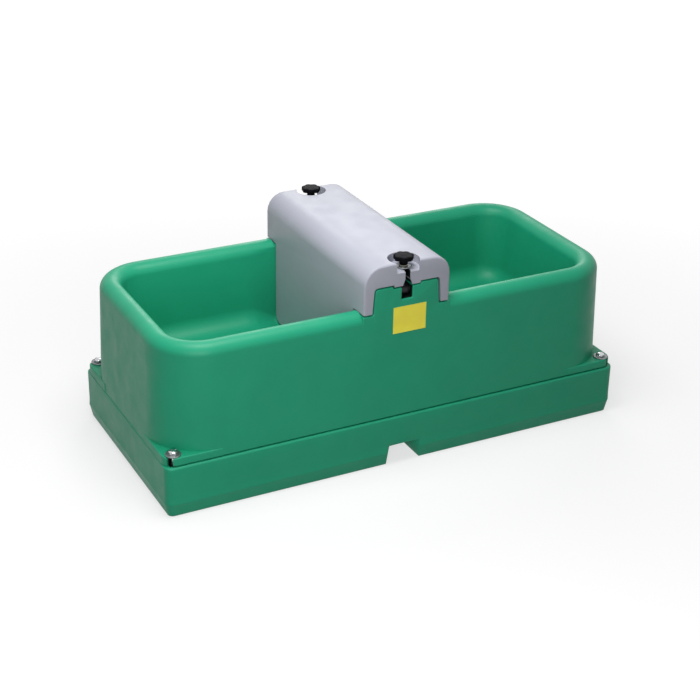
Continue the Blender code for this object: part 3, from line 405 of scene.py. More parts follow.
def blank(name, roughness, metallic=0.0, ior=1.5, **sockets):
    """Material with a bare Principled shader: its tree, its shader and its object coordinates."""
    material = bpy.data.materials.new(name)
    material.use_nodes = True
    tree = material.node_tree
    shader = tree.nodes["Principled BSDF"]
    shader.inputs["Roughness"].default_value = roughness
    shader.inputs["Metallic"].default_value = metallic
    shader.inputs["IOR"].default_value = ior
    for key, value in sockets.items():
        shader.inputs[key.replace("_", " ")].default_value = value
    place = add(tree, "ShaderNodeTexCoord").outputs["Object"]
    return material, tree, shader, place


def link(tree, shader, **sockets):
    """Feeds the shader's inputs, named with an underscore for a space, from other nodes' sockets."""
    for key, value in sockets.items():
        tree.links.new(value, shader.inputs[key.replace("_", " ")])


def maths(tree, operation, *values):
    """Result of a Math node for one or two values."""
    return add(tree, "ShaderNodeMath", dict(enumerate(values)), operation=operation).outputs[0]


def ranged(tree, value, low, high, to_low=0.0, to_high=1.0):
    """Value carried from one range to another, and held at the ends."""
    return add(tree, "ShaderNodeMapRange", {"Value": value, "From Min": low, "From Max": high,
                                            "To Min": to_low, "To Max": to_high}).outputs["Result"]


def tinted(tree, source, colour, spread, low=0.3, high=0.7):
    """Colour that goes from a darker neighbour of a linear colour to a lighter one, while the source
    goes from low to high."""
    node = add(tree, "ShaderNodeValToRGB", {"Fac": source})
    for band, position, share in zip(node.color_ramp.elements, (low, high), (1 - spread, 1 + spread)):
        band.position = position
        band.color = (*(min(1.0, value * share) for value in colour), 1)
    return node.outputs["Color"]


def noise(tree, place, size, detail=2.0, roughness=0.5):
    """Noise whose features are about size metres across."""
    return add(tree, "ShaderNodeTexNoise", {"Vector": place, "Scale": 1 / size, "Detail": detail,
                                            "Roughness": roughness}).outputs["Fac"]


def bumped(tree, shader, *layers):
    """Relief from layers of (height, distance in metres, strength), each on top of the last."""
    below = {}
    for height, distance, strength in layers:
        inputs = {"Height": height, "Distance": distance, "Strength": strength, **below}
        below = {"Normal": add(tree, "ShaderNodeBump", inputs).outputs["Normal"]}
    link(tree, shader, **below)


def with_painted_shade(tree, place, base, boxes):
    """Colour with a painted shade, nearly black, within boxes where the pockets and slots are deep: each box
    given as (low, high) limits in metres of |x|, |y| and z, with a border a millimetre wide."""
    axes = add(tree, "ShaderNodeSeparateXYZ", {"Vector": place}).outputs
    sizes = [maths(tree, "ABSOLUTE", axes[key]) for key in ("X", "Y")]
    for limits in boxes:
        share = None
        for value, (low, high) in zip((*sizes, axes["Z"]), limits):
            for edge, inwards in ((low, SHADE_BORDER), (high, -SHADE_BORDER)):
                part = ranged(tree, value, edge, edge + inwards)
                share = part if share is None else maths(tree, "MULTIPLY", share, part)
        # Painted shade: within the box the colour goes to nearly black
        black = (*linear(PAINTED_SHADE), 1)
        base = add(tree, "ShaderNodeMix", {"Factor": share, 6: base, 7: black}, data_type="RGBA").outputs[2]
    return base


def rotomoulded_polyethylene(name, colour, shade_boxes, roughness=0.44, spread=0.05):
    """Medium-density polyethylene, sintered from pigmented powder in a turning mould: a waxy satin,
    clouded over hand widths where the powder lay thicker, with a fine orange peel all over. Within the
    boxes of painted shade it is nearly black: a painted shade in its deep pockets and slots."""
    material, tree, shader, place = blank(name, roughness, ior=1.51, Specular_IOR_Level=0.30)
    cloud = noise(tree, place, 0.11, 3.0, 0.55)
    speck = noise(tree, place, 0.0030, 2.0, 0.6)
    blend = add(tree, "ShaderNodeMix", {"Factor": 0.22, "A": cloud, "B": speck}, data_type="FLOAT")
    base = tinted(tree, blend.outputs["Result"], colour, spread)
    # Painted shade, nearly black, in the deep pockets and slots
    link(tree, shader, Base_Color=with_painted_shade(tree, place, base, shade_boxes))
    # The peel is 2 to 3 mm from crest to crest, with a grain of about 1 mm on it
    peel, grain = noise(tree, place, 0.0028), noise(tree, place, 0.0011, 1.0)
    bumped(tree, shader, (peel, 0.00022, 0.55), (grain, 0.00010, 0.5))
    patch = noise(tree, place, 0.035, 3.0, 0.6)
    link(tree, shader, Roughness=ranged(tree, patch, 0.3, 0.7, roughness - 0.05, roughness + 0.07))
    return material


def moulded_plastic(name, colour, roughness, grain=0.0009, depth=0.00006, level=0.5):
    """Moulded plastic: an even colour with the fine spark-eroded grain of its tool."""
    material, tree, shader, place = blank(name, roughness, ior=1.53, Specular_IOR_Level=level)
    link(tree, shader, Base_Color=tinted(tree, noise(tree, place, 0.006), colour, 0.06))
    bumped(tree, shader, (noise(tree, place, grain), depth, 0.6))
    return material


def plain_metal(name, colour, roughness, scratch=0.0012, spread=0.10):
    """Turned or pressed metal: a clear reflection broken by fine marks a millimetre or so long."""
    material, tree, shader, place = blank(name, roughness, metallic=1.0)
    stretched = add(tree, "ShaderNodeMapping", {"Vector": place, "Scale": (1.0, 1.0, 4.0)})
    marks = noise(tree, stretched.outputs["Vector"], scratch, 4.0, 0.7)
    link(tree, shader, Base_Color=tinted(tree, noise(tree, place, 0.009, 3.0), colour, spread),
         Roughness=ranged(tree, marks, 0.3, 0.7, roughness * 0.75, roughness * 1.35))
    bumped(tree, shader, (marks, 0.00002, 0.35))
    return material


def black_plated_steel(name, colour):
    """Steel under black-passivated zinc: nearly black, with a low grey sheen and paler marks."""
    material, tree, shader, place = blank(name, 0.42, metallic=0.6)
    marks = noise(tree, place, 0.003, 4.0, 0.6)
    link(tree, shader, Base_Color=tinted(tree, marks, colour, 0.35, 0.35, 0.75))
    bumped(tree, shader, (noise(tree, place, 0.0010, 3.0), 0.00002, 0.4))
    return material


def galvanised_steel(name, colour):
    """Steel dipped in molten zinc: crystals up to a centimetre across, each a slightly different grey."""
    crystals_a_metre = 170.0
    material, tree, shader, place = blank(name, 0.42, metallic=1.0)
    cell = add(tree, "ShaderNodeTexVoronoi", {"Vector": place, "Scale": crystals_a_metre, "Randomness": 1.0})
    grey = add(tree, "ShaderNodeSeparateColor", {"Color": cell.outputs["Color"]}).outputs["Red"]
    link(tree, shader, Base_Color=tinted(tree, grey, colour, 0.22, 0.0, 1.0),
         Roughness=ranged(tree, grey, 0.0, 1.0, 0.32, 0.52))
    bumped(tree, shader, (noise(tree, place, 0.0015), 0.00004, 0.5))
    return material


def moulded_rubber(name, colour):
    """Nitrile rubber: matt and faintly dusty."""
    material, tree, shader, place = blank(name, 0.78, ior=1.52)
    link(tree, shader, Base_Color=tinted(tree, noise(tree, place, 0.004, 3.0), colour, 0.25))
    bumped(tree, shader, (noise(tree, place, 0.0008), 0.00006, 0.5))
    return material


def label_vinyl(name, colour):
    """Vinyl label, bare, under a smooth clear film."""
    material, tree, shader, place = blank(name, 0.30)
    link(tree, shader, Base_Color=tinted(tree, noise(tree, place, 0.02), colour, 0.03))
    bumped(tree, shader, (noise(tree, place, 0.006), 0.00008, 0.3))
    return material


def make_finishes(s):
    """Fills in the table of finishes."""
    FINISHES.update(
        # Both rotomoulded plastics carry painted shade, nearly black, in their deep pockets and slots
        green=rotomoulded_polyethylene("green_rotomoulded_polyethylene", s.trough_colour, SHADED_POCKETS),
        grey=rotomoulded_polyethylene("grey_rotomoulded_polyethylene", s.cover_colour, SHADED_SLOTS, 0.46, 0.03),
        black=moulded_plastic("black_glass_filled_nylon", s.knob_colour, 0.42, level=0.012),
        natural=moulded_plastic("natural_nylon", linear("A5A297"), 0.42),
        orange=moulded_plastic("orange_blow_moulded_polypropylene", s.float_colour, 0.34, 0.0016, 0.0001),
        pipe=moulded_plastic("black_polyethylene_pipe", linear("16171A"), 0.40, 0.002, 0.00005, 0.3),
        stainless=plain_metal("turned_stainless_steel", linear("C4C6C8"), 0.20),
        pressed=plain_metal("pressed_stainless_steel", linear("85898A"), 0.40, 0.0016, 0.16),
        plated=black_plated_steel("black_zinc_plated_steel", linear("26272A")),
        brass=plain_metal("turned_brass", linear("C9A25A"), 0.30, 0.0016),
        zinc=galvanised_steel("galvanised_steel", linear("A9AFB3")),
        rubber=moulded_rubber("nitrile_rubber", linear("151515")),
        label=label_vinyl("yellow_vinyl_label", s.label_colour))


# Trough


def trough_sections(distance, end_share):
    """Sections of the trough as (inset, height), one for each station round its plan. Up the drafted
    wall, over the half-round rim, and down the basin's wall and fillet. In the bay, where the
    station's distance from the middle is small, the basin's part slides to the bay's own section.
    Towards the ends, where end_share is 1, the wall's foot comes out flush with the base."""
    foot, centre, below_ledge = TROUGH_LOW.z, RIM_TOP - RIM_RADIUS, 0.0005
    rim_middle = WALL_DRAFT + RIM_RADIUS
    wall = np.linspace((FOOT_BACK, foot), (WALL_DRAFT, centre), 10)[:-1]
    rim = arc((rim_middle, centre), RIM_RADIUS, 180, 0, 36)
    top = rim_middle + RIM_RADIUS

    def descent(first, last, floor, fillet):
        """Wall from the rim's inner side down to a fillet, and the fillet down to the floor."""
        straight = np.linspace((first, centre), (last, floor + fillet), 7)[1:-1]
        return straight, arc((last + fillet, floor + fillet), fillet, 180, 270, 14)

    bay_rim = np.column_stack([np.minimum(rim[:, 0], BAY_INSET), rim[:, 1]])
    basin = np.concatenate([wall, rim, *descent(top, top + BASIN_DRAFT, BASIN_FLOOR, BASIN_FILLET)])
    bay = np.concatenate([wall, bay_rim, *descent(BAY_INSET, BAY_INSET, BAY_FLOOR, BAY_FILLET)])
    share = np.clip((BAY_RAMP_END - distance) / (BAY_RAMP_END - BAY_HALF), 0, 1)[:, None, None]
    sections = (1 - share) * basin + share * bay
    flush = np.interp(sections[..., 1], (foot, centre), (END_BACK, WALL_DRAFT))
    on_wall = (np.arange(len(basin)) < len(wall))[None, :]
    sections[..., 0] += np.where(on_wall, end_share[:, None] * (flush - sections[..., 0]), 0)
    under = (distance < BOLSTER_HALF)[:, None] & ~on_wall
    lowered = np.minimum(sections[..., 1], LEDGE - below_ledge)
    sections[..., 1] = np.where(under, lowered, sections[..., 1])
    return sections


def plan_stations(half_x, half_y, radius, half, corner_steps, side_steps):
    """Points and outward normals round a rounded rectangle, anticlockwise from the front's left, with
    the stations of half a long side mirrored to the other half. With them go each point's distance
    from the middle, which counts on the long sides only, and the numbers of the front's and the
    rear's points, both from left to right."""
    along = np.array([-value for value in half[:0:-1]] + list(half))
    side = np.linspace(-(half_y - radius), half_y - radius, side_steps + 1)
    points, normals = [], []

    def straight(xy, normal):
        points.append(xy)
        normals.append(np.repeat(np.array([normal], float), len(xy), 0))

    def corner(sx, sy, start):
        angle = np.radians(np.linspace(start, start + 90, corner_steps + 1))[1:-1]
        way = np.stack([np.cos(angle), np.sin(angle)], -1)
        points.append(np.array([sx * (half_x - radius), sy * (half_y - radius)]) + radius * way)
        normals.append(way)

    straight(np.column_stack([along, np.full(len(along), -half_y)]), (0, -1))
    corner(1, -1, 270)
    straight(np.column_stack([np.full(len(side), half_x), side]), (1, 0))
    corner(1, 1, 0)
    straight(np.column_stack([along[::-1], np.full(len(along), half_y)]), (0, 1))
    corner(-1, 1, 90)
    straight(np.column_stack([np.full(len(side), -half_x), side[::-1]]), (-1, 0))
    corner(-1, -1, 180)
    points, normals = np.concatenate(points), np.concatenate(normals)
    distance = np.where(np.abs(normals[:, 1]) > 0.999, np.abs(points[:, 0]), 1.0)
    front = np.arange(len(along))
    rear = int(np.argmax(normals[:, 1] > 0.999)) + len(along) - 1 - front
    return points, normals, distance, front, rear


def trough_shell():
    """Skin of the double-walled moulding. A point is plan - inset normal at the section's height, and
    the floor between the two long sides is a grid of straight lines from fillet to fillet."""
    half = (0, 0.03, 0.06, 0.0942, 0.0946, BAY_HALF, 0.106, 0.114, 0.123, 0.132, 0.140, BAY_RAMP_END, 0.17,
            0.21, 0.25, 0.29, 0.33, TROUGH_HIGH.x - TROUGH_CORNER)
    plan, normal, distance, front, rear = plan_stations(
        TROUGH_HIGH.x, TROUGH_HIGH.y, TROUGH_CORNER, half, 26, 8)
    sections = trough_sections(distance, normal[:, 0] ** 2)
    count, rows, columns = len(plan), sections.shape[1], 14
    flat = plan[:, None, :] - normal[:, None, :] * sections[..., :1]
    points = np.concatenate([flat, sections[..., 1:]], -1).transpose(1, 0, 2).reshape(-1, 3)
    faces = grid_faces(rows, count, False, True)
    faces.append(list(range(count))[::-1])
    last = (rows - 1) * count
    front, rear = last + front, last + rear
    share = np.linspace(0, 1, columns + 1)[1:-1][None, :, None]
    floor = points[front][:, None, :] * (1 - share) + points[rear][:, None, :] * share
    between = len(points) + np.arange(len(front) * (columns - 1)).reshape(len(front), -1)
    index = np.concatenate([front[:, None], between, rear[:, None]], 1)
    points = np.concatenate([points, floor.reshape(-1, 3)])
    quads = np.stack([index[:-1, :-1], index[1:, :-1], index[1:, 1:], index[:-1, 1:]], -1).reshape(-1, 4)
    faces += quads.tolist()
    right_end = list(range(front[-1], rear[-1] + 1))
    faces.append(right_end + index[-1, 1:-1][::-1].tolist())
    left_end = list(range(rear[0], last + count)) + [int(front[0])]
    faces.append(left_end + index[0, 1:-1].tolist())
    return points, faces


def bolster(side):
    """Flat-faced hump in the rim, as two prisms along Y: the outer one has the bolt's pocket."""
    foot, top, recess, pocket = 0.0715, 0.068, 0.0295, 0.0115
    low = HUMP_TOP - 0.0045
    face_edge, back_edge = 0.0028, 0.0015
    right = [(BOLSTER_HALF, BOLSTER_FOOT), (BOLSTER_HALF, LEDGE), (foot, LEDGE), (top, HUMP_TOP),
             (recess, HUMP_TOP), (recess, low)]
    radii = [0, 0, 0.003, 0.007, 0.0032, 0.0010]
    notch = [(pocket, low), (pocket, POCKET_FLOOR)]
    notch_radii = [0.0010, 0.0034, 0.0015]

    def whole(half, half_radii):
        """Outline from its right half, mirrored and rounded."""
        return rounded(half + [(-x, z) for x, z in half[::-1]], half_radii + half_radii[::-1])

    cut = whole(right + notch, radii[:-1] + notch_radii)
    outer = rounded_prism(cut, POCKET_BACK, FACE_Y, 0, face_edge, axis="Y")
    inner = rounded_prism(whole(right, radii), FACE_Y - BOLSTER_THICK, POCKET_BACK, back_edge, 0, axis="Y")
    return [mirrored(shape, -side, -side) for shape in (outer, inner)]


def ear(sx, sy):
    """Corner plate with a slot for the screw that is open to the corner."""
    overlap, inwards, edge = 0.004, 0.014, 0.0022
    half_x, half_y = TROUGH_HIGH.x - EAR_BACK, TROUGH_HIGH.y - FOOT_BACK + APART
    centre = np.array([half_x - EAR_CORNER, half_y - EAR_CORNER])
    screw = np.array([SCREW_X, SCREW_Y])
    across = np.array([-1.0, 1.0]) / math.sqrt(2)
    shift = (screw - centre) @ across
    low = 45 + math.degrees(math.asin((shift - SLOT_HALF) / EAR_CORNER))
    high = 45 + math.degrees(math.asin((shift + SLOT_HALF) / EAR_CORNER))
    middle = (half_x - TROUGH_CORNER, half_y - TROUGH_CORNER)
    outline = np.concatenate([
        [(half_x, half_y - TROUGH_CORNER - overlap)],
        arc(centre, EAR_CORNER, 0, low, 8),
        arc(screw, SLOT_HALF, -45, -225, 16),
        arc(centre, EAR_CORNER, high, 90, 8),
        [(half_x - TROUGH_CORNER - overlap, half_y)],
        arc(middle, TROUGH_CORNER - inwards, 92, -2, 16)])
    return mirrored(rounded_prism(outline, TROUGH_LOW.z + APART, EAR_TOP, 0, edge), sx, sy)


def rebate(side):
    """Cutter for the rebate under the trough's foot, which shows as a dark line along the base."""
    short, below = 0.003, 0.002
    reach, back, front = TROUGH_HIGH.x - short, TROUGH_HIGH.y - SHADOW_DEPTH, TROUGH_HIGH.y + SHADOW_DEPTH
    outline = np.array([(-reach, back), (reach, back), (reach, front), (-reach, front)])
    return mirrored(rounded_prism(outline, TROUGH_LOW.z - below, TROUGH_LOW.z + SHADOW_GAP), 1, side)


def make_trough():
    """Trough: the shell with its humps and ears added. Its foot's rebate, the holes and recesses in
    the bay's floor, and the beds of the bolts' pins are cut from it."""
    steps = [("UNION", shape) for _, side in SIDES for shape in bolster(side)]
    steps += [("UNION", ear(sx, sy)) for _, sx, sy in CORNERS]
    steps += [("DIFFERENCE", rebate(side)) for _, side in SIDES]
    turn = Matrix.Rotation(math.radians(FACET_TURN), 3, "Z")
    for y, radius in FLOOR_HOLES:
        for r, top, sides in ((radius, HOLE_TOP, 48), (RECESS_RADIUS, RECESS_TOP, 64)):
            cutter = lathe([(r, UNDER_FLOOR), (r, top)], sides)
            steps.append(("DIFFERENCE", moved(cutter, (0, y, 0), turn)))
    bed = lathe([(BORE, -PIN_BED_HALF), (BORE, PIN_BED_HALF)], 32)
    lying = Matrix.Rotation(math.pi / 2, 3, "Y")
    steps += [("DIFFERENCE", moved(bed, (0, side * BOLT_Y, PIVOT_Z), lying)) for _, side in SIDES]
    item = carved("trough_moulding", trough_shell(), steps)
    settle(item, "green", "frame", ("trough",), 32)


# Base


def base_shell():
    """Skin of the base from (inset, height) pairs: an undercut band, a crest that stands a little
    proud, a wall and a rounded top edge. Where the channel crosses, every height below its roof is
    raised to the roof, and the inset is read off the same profile at the raised height."""
    high = BASE_HIGH
    edge, wall, roof, mouth, taper, near = 0.0045, 0.0008, 0.043, 0.037, 0.0035, 1e-9
    end_share = 0.15  # how much of the top edge's set-back the ends have
    top = arc((wall + edge, high.z - edge), edge, 180, 90, 7)
    profile = np.concatenate([
        [(0.0068, 0), (0.0060, 0.0010), (0.0049, 0.006), (0.0036, 0.012), (0.0023, 0.018), (0.0012, 0.0232),
         (0.0006, 0.0252), (0.0001, 0.0268), (0, 0.0282), (0.0001, 0.030), (0.0004, 0.034), (0.0007, 0.039),
         (wall, roof), (wall, 0.055), (wall, 0.070), (wall, 0.085)], top])
    half = (0, 0.015, mouth - taper, mouth, 0.06, 0.10, 0.16, 0.22, 0.28, 0.34, 0.40, 0.45,
            high.x - BASE_CORNER)
    plan, normal, distance, front, rear = plan_stations(high.x, high.y, BASE_CORNER, half, 12, 6)
    along = plan[front, 0]
    lift = np.clip((mouth - distance) / taper, 0, 1) * roof
    height = np.maximum(profile[:, 1][:, None], lift[None, :])
    back = np.interp(height, profile[:, 1], profile[:, 0])
    back = np.where(height > profile[:, 1][:, None] + near, back, profile[:, 0][:, None])
    on_edge = (np.arange(len(profile)) >= len(profile) - len(top))[:, None]
    set_back = end_share + (1 - end_share) * normal[None, :, 1] ** 2
    back = np.where(on_edge, wall + (back - wall) * set_back, back)
    flat = plan[None] - normal[None] * back[..., None]
    points = np.concatenate([flat, height[..., None]], -1).reshape(-1, 3)
    count, rows = len(plan), len(profile)
    faces = grid_faces(rows, count, False, True)
    faces.append(list(range((rows - 1) * count, rows * count)))
    for k in np.nonzero(np.abs(along) <= mouth + near)[0][:-1]:
        faces.append([int(front[k]), int(rear[k]), int(rear[k + 1]), int(front[k + 1])])
    left, right = (int(np.nonzero(np.abs(along - x) < near)[0][0]) for x in (-mouth, mouth))
    faces.append([*range(rear[left], count), *range(left + 1)][::-1])
    faces.append([*range(right, rear[right] + 1)][::-1])
    return points, faces


def make_base():
    """Base, with its lower edges and its channel's edges rounded by a bevel."""
    item = shaped("base_moulding", base_shell())
    work = bmesh.new()
    work.from_mesh(item.data)
    bmesh.ops.remove_doubles(work, verts=work.verts, dist=1e-6)
    bmesh.ops.dissolve_degenerate(work, edges=work.edges, dist=1e-6)
    bmesh.ops.recalc_face_normals(work, faces=work.faces)
    work.to_mesh(item.data)
    work.free()
    bevelled(item, 0.0015, 3, 48)
    settled_mesh(item, BASE_LOW, BASE_HIGH)
    settle(item, "green", "frame", ("base",), 40)


# Cover, label and clamps


def make_cover():
    """Cover: the CAD's own form with its edges rounded as the mould rounds them."""
    softened("cover", "grey", 0.0016, "cover_moulding", 40, 3)


def make_label():
    """Label on the hump's face: a sheet that follows the face and, below it, the drafted wall."""
    steps = 25
    x, z = np.meshgrid(np.linspace(*LABEL_X, steps), np.linspace(*LABEL_Z, steps))
    wall = TROUGH_HIGH.y - WALL_DRAFT * (z - TROUGH_LOW.z) / (RIM_TOP - RIM_RADIUS - TROUGH_LOW.z)
    face = np.maximum(wall, FACE_Y)
    front = np.stack([x, -face - LABEL_PROUD, z], -1)
    back = np.stack([x, -face + LABEL_SUNK, z], -1)
    points = np.concatenate([front.reshape(-1, 3), back.reshape(-1, 3)])
    quads = np.array(grid_faces(*x.shape))
    far = quads[:, ::-1] + x.size
    index = np.arange(x.size).reshape(x.shape)
    rim = np.concatenate([index[0], index[1:, -1], index[-1, -2::-1], index[-2:0:-1, 0]])
    after = np.roll(rim, -1)
    edge = np.stack([rim, rim + x.size, after + x.size, after], -1)
    build("label_sheet", (points, np.concatenate([quads, far, edge]).tolist()), "label", "frame")


def knob_shape(s):
    """Star knob: radius is R - depth ((1 - cos(lobes a)) / 2) ^ 1.5 times a share that follows the
    knob's side from its rounded foot, over the lobes, to a low dome."""
    top, low = KNOB_HIGH.z, KNOB_LOW.z
    hub, hub_top, socket, crown = 0.008, low + 0.010, 0.0068, top - 0.003
    steps = s.knob_lobes * 24
    angle = 2 * np.pi * np.arange(steps) / steps + np.pi / 2
    flute = s.knob_flute * (0.5 - 0.5 * np.cos(s.knob_lobes * (angle - np.pi / 2))) ** 1.5
    star = KNOB_HIGH.x - flute
    head = top - hub_top
    form = np.array([
        (0.55, 0.0), (0.90, 0.0), (0.95, 0.01), (0.98, 0.04), (0.995, 0.09), (1.0, 0.16), (1.0, 0.70),
        (0.995, 0.78), (0.982, 0.845), (0.96, 0.89), (0.92, 0.92), (0.84, 0.942), (0.72, 0.958),
        (0.56, 0.974), (0.445, 0.982), (0.415, 0.965), (0.385, 0.985), (0.30, 0.991), (0.15, 0.998),
        (0.03, 1.0)])
    plain = [(socket, crown), (socket, low + 0.0004), (socket + 0.0004, low), (hub - 0.0004, low),
             (hub, low + 0.0004), (hub, hub_top - 0.0008), (hub + 0.0008, hub_top)]
    radius = [np.full(steps, r) for r, _ in plain]
    height = [z for _, z in plain]
    blend = np.clip((form[:, 0] - 0.35) / 0.4, 0, 1)
    for (share, rise), star_share in zip(form, blend):
        radius.append(share * (star_share * star + (1 - star_share) * KNOB_HIGH.x))
        height.append(hub_top + head * rise)
    radius = np.array(radius)
    height = np.repeat(np.array(height)[:, None], steps, 1)
    return skin(np.stack([radius * np.cos(angle), radius * np.sin(angle), height], -1))


def thread_shank(radius, low, high, start):
    """Threaded rod: radius at (a, z) is r - depth (1 - |2 frac(z / pitch - a / 2 pi) - 1|) above the
    thread's start and plain below it, less the chamfer at its end."""
    steps, depth, run_in, chamfer = 36, 0.0006, 0.001, 0.0008
    rows = int((high - low) / (THREAD_PITCH / 7)) + 1
    z = np.linspace(low, high, rows)[:, None]
    a = (2 * np.pi * np.arange(steps) / steps)[None, :]
    wave = np.abs(2 * np.mod(z / THREAD_PITCH - a / (2 * np.pi), 1) - 1)
    cut = depth * (1 - wave) * np.clip((z - start) / run_in, 0, 1)
    r = radius - cut - chamfer * (1 - np.clip((high - z) / chamfer, 0, 1))
    return skin(np.stack([r * np.cos(a), r * np.sin(a), z + 0 * a], -1))


def bolt_shape():
    """Eye bolt about its pin: a ring whose section has rounded edges, and a threaded shank."""
    outer, half, edge = 0.010, 0.0088, 0.001
    neck, thread_start = 0.0085, 0.030
    ring = moved(ring_shape(BORE, outer, -half, half, edge, 4, 56), turn=Matrix.Rotation(math.pi / 2, 3, "Y"))
    return together(ring, thread_shank(0.005, neck, BOLT_HIGH.z - PIVOT_Z, thread_start))


def make_clamps(s):
    """Both clamps: star knob and bush, thrust washer, large washer, and the swing bolt on its pin."""
    knob, bolt = knob_shape(s), bolt_shape()
    for word, side in SIDES:
        y = side * BOLT_Y
        build(f"star_knob_{word}", moved(knob, (0, y, 0)), "black", f"knob_{word}",
              (f"knob_{word}",), 40)
        build(f"eye_bolt_{word}", moved(bolt, (0, y, PIVOT_Z)), "plated", f"bolt_{word}",
              (f"swing_bolt_{word}",), 50)
        for kind, finish, slot, edge in (("knob_washer", "pressed", "stainless_steel", 0.0006),
                                         ("thrust_washer", "natural", "natural_nylon", 0.0003),
                                         ("knob_bush", "brass", "brass", 0.0003)):
            node = f"{kind}_{word}"
            low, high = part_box(node)
            ring = ring_shape(BORE, (high.x - low.x) / 2, low.z, high.z, edge)
            build(f"{node}_turned", moved(ring, (0, y, 0)), finish,
                  frame["nodes"][node]["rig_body"], (node,), 50)
        coat(frame["nodes"][f"swing_pin_{word}"].data.materials, "stainless")


def make_corner_fixings():
    """Corner screws and washers: hexagon heads with a domed top on large flat washers."""
    across, tall, shank, dome_radius, washer_radius = 0.017, 0.0065, 0.005, 0.0130, 0.015
    head = SCREW_HIGH.z - tall
    dome = arc((0, head + tall - dome_radius), dome_radius, 41, 90, 9)
    profile = [(shank, SCREW_LOW.z), (shank, head), (0.0083, head), (0.0085, head + 0.0002),
               (0.0098, head + 0.0005), (0.0098, head + 0.0034), (0.0094, head + 0.0040),
               *dome[:-1].tolist(), (0.0002, SCREW_HIGH.z)]
    screw = lathe(profile, 72, across)
    washer = ring_shape(BORE, washer_radius, WASHER_LOW.z, WASHER_HIGH.z, 0.0007, 3, 72)
    for word, sx, sy in CORNERS:
        place = (sx * SCREW_X, sy * SCREW_Y, 0)
        # Each head stands at another angle
        turn = Matrix.Rotation(math.radians(17 * sx + 8 * sy), 3, "Z")
        build(f"hex_screw_{word}", moved(screw, place, turn), "stainless", "frame",
              (f"corner_screw_{word}",), 30)
        build(f"flat_washer_{word}", moved(washer, place), "pressed", "frame",
              (f"corner_washer_{word}",), 50)


# Water fittings

# Node, finish and width of the rounded edges
FITTINGS = (
    ("supply_fitting", "brass", 0.0005), ("supply_nut", "brass", 0.0006), ("standpipe", "zinc", 0.0003),
    ("standpipe_elbow", "zinc", 0.0008), ("supply_pipe", "pipe", 0.0003), ("hose_clamp", "stainless", 0.0003),
    ("valve_body", "brass", 0.0006), ("valve_piston", "brass", 0.0003), ("float_arm", "brass", 0.0004),
    ("float_nut_upper", "brass", 0.0004), ("float_nut_lower", "brass", 0.0004), ("float", "orange", 0.0008),
    ("drain_body", "black", 0.0005), ("drain_nut", "black", 0.0006), ("drain_pipe", "pipe", 0.0003),
    ("drain_plug", "black", 0.0004))
# Nodes that keep the CAD's own mesh, and their finish
HIDDEN = (
    ("supply_gasket", "rubber"), ("valve_nozzle", "natural"), ("piston_seal", "rubber"),
    ("lever_pin", "stainless"), ("drain_gasket", "rubber"), ("plug_seal", "rubber"),
    *((f"corner_insert_{word}", "brass") for word, _, _ in CORNERS))


def make_fittings():
    """Supply line, float valve and drain, each from its CAD form with its edges rounded."""
    for node, finish, width in FITTINGS:
        softened(node, finish, width, f"{node}_piece")
    for node, finish in HIDDEN:
        coat(frame["nodes"][node].data.materials, finish)


# Stage

CAMERA_PLACE = (-1.34104, -2.56106, 1.56855)
CAMERA_RIGHT = (0.888731, -0.458028, 0.01918)
CAMERA_UP = (0.18618, 0.398855, 0.897915)
CAMERA_BACK = (-0.41892, -0.794434, 0.43975)
CAMERA_LENS = 80.16
CAMERA_SHIFT = (-0.0092, -0.0048)
FLOOR_HALF = 20
WHITE = (1, 1, 1, 1)


def shown(tree, output, lighting, seen):
    """Feeds a tree's output from one shader where it lights the scene, and from another where it is
    seen: by the camera, by way of a reflection or through a clear piece."""
    path = add(tree, "ShaderNodeLightPath").outputs
    share = path["Is Camera Ray"]
    for ray in ("Is Glossy Ray", "Is Transmission Ray"):
        share = maths(tree, "MAXIMUM", share, path[ray])
    mix = add(tree, "ShaderNodeMixShader", {0: share, 1: lighting, 2: seen})
    tree.links.new(mix.outputs[0], tree.nodes[output].inputs["Surface"])


def make_camera():
    """Camera at the photograph's viewing angle."""
    camera = placed("camera", bpy.data.cameras.new("camera"))
    camera.data.sensor_width = 36
    camera.data.lens = CAMERA_LENS
    camera.data.shift_x, camera.data.shift_y = CAMERA_SHIFT
    camera.data.clip_end = 60
    axes = Matrix((CAMERA_RIGHT, CAMERA_UP, CAMERA_BACK)).transposed().to_4x4()
    camera.matrix_world = Matrix.Translation(CAMERA_PLACE) @ axes
    bpy.context.scene.camera = camera


def make_floor():
    """Paper floor. It shows nearly white with a soft shadow, and throws little light back. Its glow is dimmer
    near the object, a painted shade round it.
    """
    corners = [(x * FLOOR_HALF, y * FLOOR_HALF, 0) for x, y in ((-1, -1), (1, -1), (1, 1), (-1, 1))]
    floor = shaped("floor", (corners, [(0, 1, 2, 3)]))
    material = bpy.data.materials.new("white_floor")
    material.use_nodes = True
    tree = material.node_tree
    tree.nodes.remove(tree.nodes["Principled BSDF"])
    place = add(tree, "ShaderNodeTexCoord").outputs["Object"]
    distance = add(tree, "ShaderNodeVectorMath", {0: place}, operation="LENGTH").outputs["Value"]
    # Painted shade: the glow is dimmest near the object and rises to full white at far
    near, far, painted_shade_level = 0.5, 2.4, 0.67
    level = ranged(tree, distance, near, far, painted_shade_level, 1.0)
    paper = add(tree, "ShaderNodeBsdfDiffuse", {"Color": (0.32, 0.32, 0.32, 1)}).outputs[0]
    glow = add(tree, "ShaderNodeEmission", {"Color": WHITE, "Strength": level}).outputs[0]
    lit = add(tree, "ShaderNodeAddShader", {0: paper, 1: glow}).outputs[0]
    dull = add(tree, "ShaderNodeBsdfDiffuse", {"Color": (0.22, 0.22, 0.22, 1)}).outputs[0]
    shown(tree, "Material Output", dull, lit)
    floor.data.materials.append(material)


